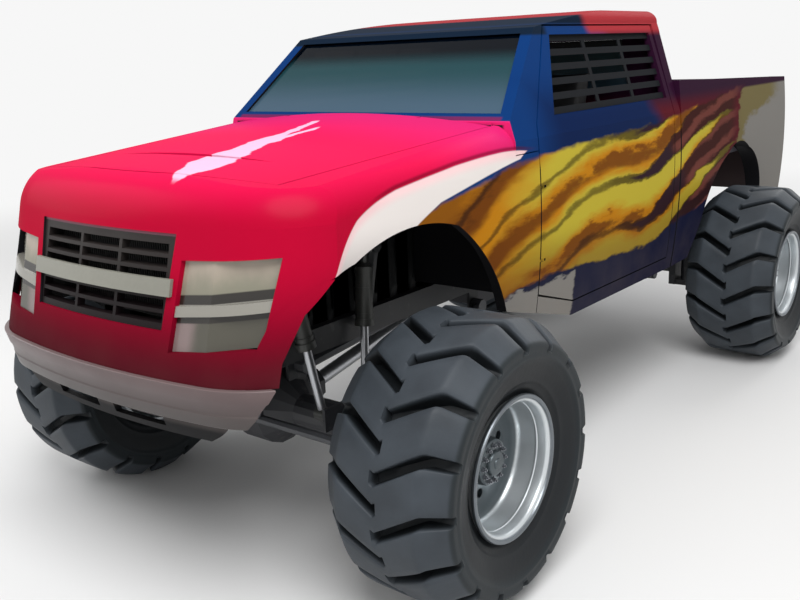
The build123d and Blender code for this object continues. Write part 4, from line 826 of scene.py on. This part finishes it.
rubber = rubberFinish()
wheelSilver = wheelFinish()
for end in ("front", "rear"):
    for sideName, side in sides:
        corner = f"{end}_{sideName}"
        low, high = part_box("wheel_" + corner)
        centre = (low + high) / 2
        for label, maker, finish, slotName, crease, replaced in (
            ("treadTyre", tyreMesh, rubber, "rubber_tread", 60, "tyre_" + corner),
            ("dishedWheel", wheelMesh, wheelSilver, "wheel_silver", 32, "wheel_" + corner),
            ("hubNuts", nutMesh, plain["nutSteel"], "wheel_silver", 30, None),
        ):
            mesh = maker()
            if side < 0:
                bmesh.ops.scale(mesh, vec=(-1, 1, 1), verts=mesh.verts)
            bmesh.ops.translate(mesh, vec=centre, verts=mesh.verts)
            thing = publish(f"{label}_{corner}", mesh, finish, crease, "wheel_" + corner)
            if replaced:
                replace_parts(thing, replaced)
                finish.use(replaced)
print("tyres and wheels built")


# Nose: bumper band, arch lips, radiator core and inner aprons

noseShape = {"front": -3.003, "lean": 0.26, "height": 1.125, "bow": 3.8, "corner": 0.45, "half": 1.012}


def noseCentres(z, drift):
    # at height z: y of the bow's centre, then x and y of the corner's
    front, height, bow, corner, half = pick(noseShape, "front height bow corner half")
    bowY = front + drift * (z - height) + bow
    return bowY, half - corner, bowY - math.sqrt((bow - corner) ** 2 - (half - corner) ** 2)


def nosePlan(share, z, inset, endY, drift):
    # a point of the nose's plan: share runs from -1 to 1, and both ends lie at endY
    bow, corner = noseShape["bow"] - inset, noseShape["corner"] - inset
    bowY, cornerX, cornerY = noseCentres(z, drift)
    joinAngle = math.atan2(cornerX, bowY - cornerY)
    endAngle = math.acos(max(-1, min(1, (cornerY - endY) / corner)))
    bowLength = bow * joinAngle
    travel = abs(share) * (bowLength + corner * (endAngle - joinAngle))
    if travel <= bowLength:
        angle = travel / bow
        x, y = bow * math.sin(angle), bowY - bow * math.cos(angle)
    else:
        angle = joinAngle + (travel - bowLength) / corner
        x, y = cornerX + corner * math.sin(angle), cornerY - corner * math.cos(angle)
    return math.copysign(x, share), y


bumperShape = {
    "proud": 0.022, "back": 0.012, "low": 0.955, "high": 1.125, "round": 0.007, "tuck": -0.28,
    "endHigh": -2.826, "endSlope": 0.29, "columns": 96, "creaseIn": (0.055, 0.062, 0.004),
    "arm": ((0.34, 0.39), (-2.965, -2.8), (1, 1.06)),
}


def bumperMesh():
    # a closed band wrapped round the nose, with two arms behind it
    mesh = bmesh.new()
    proud, back, low, high, soft = pick(bumperShape, "proud back low high round")
    edge, inner, depth = bumperShape["creaseIn"]
    turns = [(math.sin(angle), math.cos(angle)) for angle in (0, 0.5, 1, math.pi / 2)]
    section = [(back, high - 0.001), (-proud + soft, high)]
    section += [(-proud + soft * (1 - sine), high - soft * (1 - cosine)) for sine, cosine in turns[1:]]
    section += [(-proud, high - edge), (-proud + depth, high - inner), (-proud + depth, low + inner)]
    section += [(-proud, low + edge)]
    section += [(-proud + soft * (1 - cosine), low + soft * (1 - sine)) for sine, cosine in turns]
    section += [(back, low), (back, high - 0.001)]

    def placed(share, row):
        inset, z = section[round(row * (len(section) - 1))]
        endY = bumperShape["endHigh"] - bumperShape["endSlope"] * (high - z)
        x, y = nosePlan(2 * share - 1, z, inset, endY, bumperShape["tuck"])
        return x, y, z

    gridMesh(mesh, bumperShape["columns"], len(section) - 1, placed)
    bmesh.ops.remove_doubles(mesh, verts=mesh.verts, dist=0.0001)
    bmesh.ops.holes_fill(mesh, edges=[edge for edge in mesh.edges if edge.is_boundary])
    (inX, outX), (nearY, farY), (lowZ, highZ) = bumperShape["arm"]
    for x0, x1 in ((-outX, -inX), (inX, outX)):
        softBox(mesh, (x0, nearY, lowZ), (x1, farY, highZ), 0.004)
    return mesh


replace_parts(publish("wrapBumper", bumperMesh(), bumperPaint, 30.0), "front_bumper")

# arch edge: height, y of the solid's edge, y of the lip's edge, lap over the solid
lipRows = (
    (1.49, -2.56, -2.566, 0.04),
    (1.431, -2.676, -2.628, 0.04),
    (1.378, -2.742, -2.687, 0.034),
    (1.283, -2.814, -2.742, 0.012),
    (1.212, -2.846, -2.781, 0.01),
    (1.126, -2.874, -2.805, 0.01),
)
lipShape = {"proud": 0.0014, "thick": 0.018, "skin": 0.75, "columns": 16, "rows": 30}


def blended(first, second, share):
    return [a + (b - a) * share for a, b in zip(first, second)]


def lipMesh(side):
    # carries the flank's skin back to the arch, with a turned edge
    mesh = bmesh.new()
    proud, thick, skin = pick(lipShape, "proud thick skin")

    def placed(column, row):
        place = row * (len(lipRows) - 1)
        i = min(int(place), len(lipRows) - 2)
        z, solidY, lipY, lap = blended(lipRows[i], lipRows[i + 1], place - i)
        y = solidY - lap + (lipY - solidY + lap) * min(1, column / skin)
        inwards = max(0, column - skin) / (1 - skin) * thick
        bowY, cornerX, cornerY = noseCentres(z, noseShape["lean"])
        radius = noseShape["corner"] + proud - inwards
        x = cornerX + math.sqrt(max(0, radius ** 2 - min(0, y - cornerY) ** 2))
        return side * x, y, z

    gridMesh(mesh, lipShape["columns"], lipShape["rows"], placed)
    bmesh.ops.solidify(mesh, geom=mesh.faces[:], thickness=0.001)
    return mesh


for sideName, side in sides:
    publish("archLip_" + sideName, lipMesh(side), livery, 50)

coreShape = {
    "half": 0.43, "low": 1.285, "high": 1.67, "y": -2.77, "thick": 0.03, "tubes": 58,
    "baffleX": (0.452, 0.457), "baffleFront": -2.9,
}


def coreMesh():
    # a finned core with two tanks, and side baffles that lean with the nose
    mesh = bmesh.new()
    half, low, high, y, thick, front = pick(coreShape, "half low high y thick baffleFront")
    softBox(mesh, (-half, y + 0.01, low), (half, y + thick, high), 0.002)
    pitch = 2 * half / coreShape["tubes"]
    for i in range(coreShape["tubes"]):
        x = -half + (i + 0.5) * pitch
        softBox(mesh, (x - 0.0022, y, low + 0.02), (x + 0.0022, y + 0.012, high - 0.02), 0)
    for z in (low, high - 0.03):
        softBox(mesh, (-half - 0.01, y - 0.006, z), (half + 0.01, y + thick + 0.012, z + 0.03), 0.006)
    for side in (-1, 1):
        x0, x1 = sorted(side * x for x in coreShape["baffleX"])
        for vert in softBox(mesh, (x0, front, low), (x1, y + thick, high), 0):
            if vert.co.y < front + 0.05:
                vert.co.y += noseShape["lean"] * (vert.co.z - 1.3)
    return mesh


publish("radiatorCore", coreMesh(), plain["coreMetal"], 30)

apronRows = (
    # name, then rows of (y, low z, high z)
    ("Front", ((-2.66, 1.02, 1.5), (-2.52, 0.96, 1.62), (-1.3, 0.96, 1.66), (-1.1, 0.96, 1.66))),
    ("Rear", ((0.8, 1.02, 1.43), (1, 0.99, 1.44), (2.6, 0.99, 1.44), (2.93, 1.02, 1.44))),
)
apronShape = {"x": 0.352, "thick": 0.004, "ribPitch": 0.16, "ribHigh": 0.012, "columns": 96, "rows": 12}


def apronMesh(rows, side):
    # pressed inner panel with upright ribs that fade out at its edges
    mesh = bmesh.new()

    def placed(column, row):
        place = rows[0][0] + column * (rows[-1][0] - rows[0][0])
        i = max(k for k in range(len(rows) - 1) if rows[k][0] <= place + 1e-6)
        share = (place - rows[i][0]) / (rows[i + 1][0] - rows[i][0])
        low, high = blended(rows[i][1:], rows[i + 1][1:], share)
        wave = abs(((place / apronShape["ribPitch"]) % 1) - 0.5) * 2
        rib = apronShape["ribHigh"] * max(0, min(1, (wave - 0.72) / 0.12))
        fade = min(1, 4 * row, 4 * (1 - row))
        return side * (apronShape["x"] + rib * fade), place, low + row * (high - low)

    gridMesh(mesh, apronShape["columns"], apronShape["rows"], placed)
    bmesh.ops.solidify(mesh, geom=mesh.faces[:], thickness=apronShape["thick"])
    return mesh


# near black aprons that stand in for the shade in the wheel wells
for label, rows in apronRows:
    for sideName, side in sides:
        name = f"innerApron{label}_{sideName}"
        publish(name, apronMesh(rows, side), plain["apronShadeBlack"], 40)
print("nose and aprons built")


# Shocks: gas bodies with collars, bright rods and eyes at both ends

shockShape = {
    "foot": (0.49, 0.15, 0.71), "top": (0.43, 0.2577, 1.4), "body": 0.042, "rod": 0.02,
    "rodLength": 0.33, "neck": 0.09, "eye": 0.034, "eyeHalf": 0.03, "steps": 28,
    "collars": ((0, 0.034, 0.005), (0.05, 0.01, 0.003), (0.17, 0.014, 0.003)),  # start, length, growth
}


def addShock(bodies, rods, foot, top):
    body, rod, eye, eyeHalf, steps = pick(shockShape, "body rod eye eyeHalf steps")
    along = (top - foot).normalized()
    low, high = foot + along * shockShape["rodLength"], top - along * shockShape["neck"]
    roundBar(bodies, low, high, body, steps)
    for start, length, grow in shockShape["collars"]:
        roundBar(bodies, low + along * start, low + along * (start + length), body + grow, steps)
    roundBar(bodies, high - along * 0.03, high, body + 0.004, steps)
    roundBar(bodies, high, high + along * 0.02, body - 0.006, steps, 0.024)
    roundBar(bodies, high, top, rod, steps)
    wide, long = Vector((eyeHalf, 0, 0)), Vector((0, eyeHalf, 0))
    roundBar(bodies, foot - wide, foot + wide, eye, steps)
    roundBar(bodies, top - long, top + long, eye, steps)
    roundBar(rods, foot, low, rod, steps)
    roundBar(rods, foot - 1.25 * wide, foot + 1.25 * wide, 0.014, 6)  # the bolt through the lower eye


shockBodies, shockRods = bmesh.new(), bmesh.new()
for axleY in (tyrePlaces["front"], tyrePlaces["rear"]):
    for across, fore in ((-1, -1), (-1, 1), (1, -1), (1, 1)):
        ends = [Vector((across * x, axleY + fore * y, z)) for x, y, z in pick(shockShape, "foot top")]
        addShock(shockBodies, shockRods, *ends)
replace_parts(publish("gasShocks", shockBodies, plain["shockPaint"], 35.0), "shocks")
publish("shockRods", shockRods, plain["groundSteel"], 35)


# Bed and tail: pressed ribs, lamp lenses and the tailgate's pull

bedShape = {
    "floor": 1.48, "ribs": 9, "pitch": 0.125, "ribHalf": 0.022, "ribHigh": 0.009, "front": 0.83, "rear": 2.94,
}


def bedRibMesh():
    # level ribs with sloped sides, from the front wall to the tailgate
    mesh = bmesh.new()
    low, half, tall, front, rear = pick(bedShape, "floor ribHalf ribHigh front rear")
    for i in range(bedShape["ribs"]):
        x = (i - (bedShape["ribs"] - 1) / 2) * bedShape["pitch"]
        for vert in softBox(mesh, (x - half, front, low - 0.001), (x + half, rear, low + tall), 0):
            if vert.co.z > low:
                vert.co.x = x + (vert.co.x - x) * 0.72
                vert.co.y += 0.01 if vert.co.y < 1.5 else -0.01
    return mesh


publish("bedRibs", bedRibMesh(), plain["linerPaint"], 20)

tailShape = {"x": (0.882, 0.932), "y": (3.016, 3.0305), "ribs": 5, "border": 0.006}


def tailLensMesh(low, high):
    # ribbed lens blocks on both sides
    mesh = bmesh.new()
    y0, y1 = tailShape["y"]
    border = tailShape["border"]
    step = (high - low - 2 * border) / tailShape["ribs"]
    for side in (-1, 1):
        x0, x1 = sorted(side * x for x in tailShape["x"])
        softBox(mesh, (x0, y0, low), (x1, y1 - 0.003, high), 0.004, 3)
        for i in range(tailShape["ribs"]):
            z = low + border + (i + 0.5) * step
            softBox(mesh, (x0 + 0.005, y0, z - 0.32 * step), (x1 - 0.005, y1, z + 0.32 * step), 0.002)
    return mesh


for label, low, high, paintName in (
    ("Reverse", 1.52, 1.605, "clearLens"),
    ("Turn", 1.613, 1.722, "amberLens"),
    ("Stop", 1.73, 1.842, "tailLampRed"),
):
    publish("tailLens" + label, tailLensMesh(low, high), plain[paintName], 35)

handleShape = {"half": 0.095, "low": 1.88, "high": 1.918, "y": 3.025}


def handleMesh():
    # a pull in a shallow escutcheon
    mesh = bmesh.new()
    half, low, high, y = pick(handleShape, "half low high y")
    softBox(mesh, (-half - 0.02, y - 0.004, low - 0.012), (half + 0.02, y + 0.003, high + 0.012), 0.003)
    softBox(mesh, (-half, y, low + 0.006), (half, y + 0.012, high - 0.002), 0.004, 3)
    return mesh


publish("tailgatePull", handleMesh(), plain["trimBlack"], 30, "tailgate")


# Seat: a base, a sewn cushion and a sewn back

seatShape = {
    "x": (0.104, 0.616), "cushion": ((-0.5, 0.055), (1.322, 1.446)),
    "base": ((0.115, 0.605), (-0.485, 0.045), (1.172, 1.33)),
    "backLow": (0.045, 1.385), "backHigh": (0.19, 2.118), "backThick": 0.145,
    "channelReach": 0.72, "channelDepth": 0.16, "channelHalf": 0.035,
}


def cushionMesh(size, channels):
    # a crowned closed form about its own centre, its channels sewn across x
    mesh = bmesh.new()
    reach, depth, half = pick(seatShape, "channelReach channelDepth channelHalf")
    bmesh.ops.create_cube(mesh, size=2)
    bmesh.ops.subdivide_edges(mesh, edges=mesh.edges[:], cuts=23, use_grid_fill=True)
    for vert in mesh.verts:
        u, v, w = vert.co
        fill = max(0, (1 - u ** 6) * (1 - v ** 6)) ** 0.35
        crown = 1 + 0.1 * (1 - u * u) * (1 - v * v)
        height = w * (0.42 + 0.58 * fill) * crown
        if w > 0:
            for k in range(channels):
                place = reach * (2 * k / (channels - 1) - 1)
                height -= depth * math.exp(-((v - place) / half) ** 2) * fill
        vert.co = (
            u * (1 - 0.02 * (1 - v * v)) * (0.955 + 0.045 * (1 - w * w)) * size[0] / 2,
            v * (1 - 0.02 * (1 - u * u)) * (0.94 + 0.06 * (1 - w * w)) * size[1] / 2,
            height * size[2] / 2 / (1.1 + 0.035 * fill),
        )
    return mesh


def seatPieces():
    # a level cushion, a back that leans between its two ends, and a base
    x0, x1 = seatShape["x"]
    middle = (x0 + x1) / 2
    (y0, y1), (z0, z1) = seatShape["cushion"]
    cushion = cushionMesh((x1 - x0, y1 - y0, z1 - z0), 4)
    bmesh.ops.translate(cushion, vec=(middle, (y0 + y1) / 2, (z0 + z1) / 2), verts=cushion.verts)
    lowY, lowZ = seatShape["backLow"]
    highY, highZ = seatShape["backHigh"]
    back = cushionMesh((x1 - x0, math.hypot(highY - lowY, highZ - lowZ), seatShape["backThick"]), 5)
    lean = math.atan2(highZ - lowZ, highY - lowY)
    moved = Matrix.Translation((middle, (lowY + highY) / 2, (lowZ + highZ) / 2))
    bmesh.ops.transform(back, matrix=moved @ Matrix.Rotation(lean, 4, "X"), verts=back.verts)
    base = bmesh.new()
    softBox(base, *zip(*seatShape["base"]), 0.012, 3)
    return base, cushion, back


seatBase, seatCushion, seatBack = seatPieces()
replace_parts(publish("seatBase", seatBase, plain["trimBlack"], 35.0), "driver_seat")
publish("seatCushion", seatCushion, plain["seatVinyl"], 60.0)
publish("seatBack", seatBack, plain["seatVinyl"], 60.0)
print("shocks, bed and seat built")
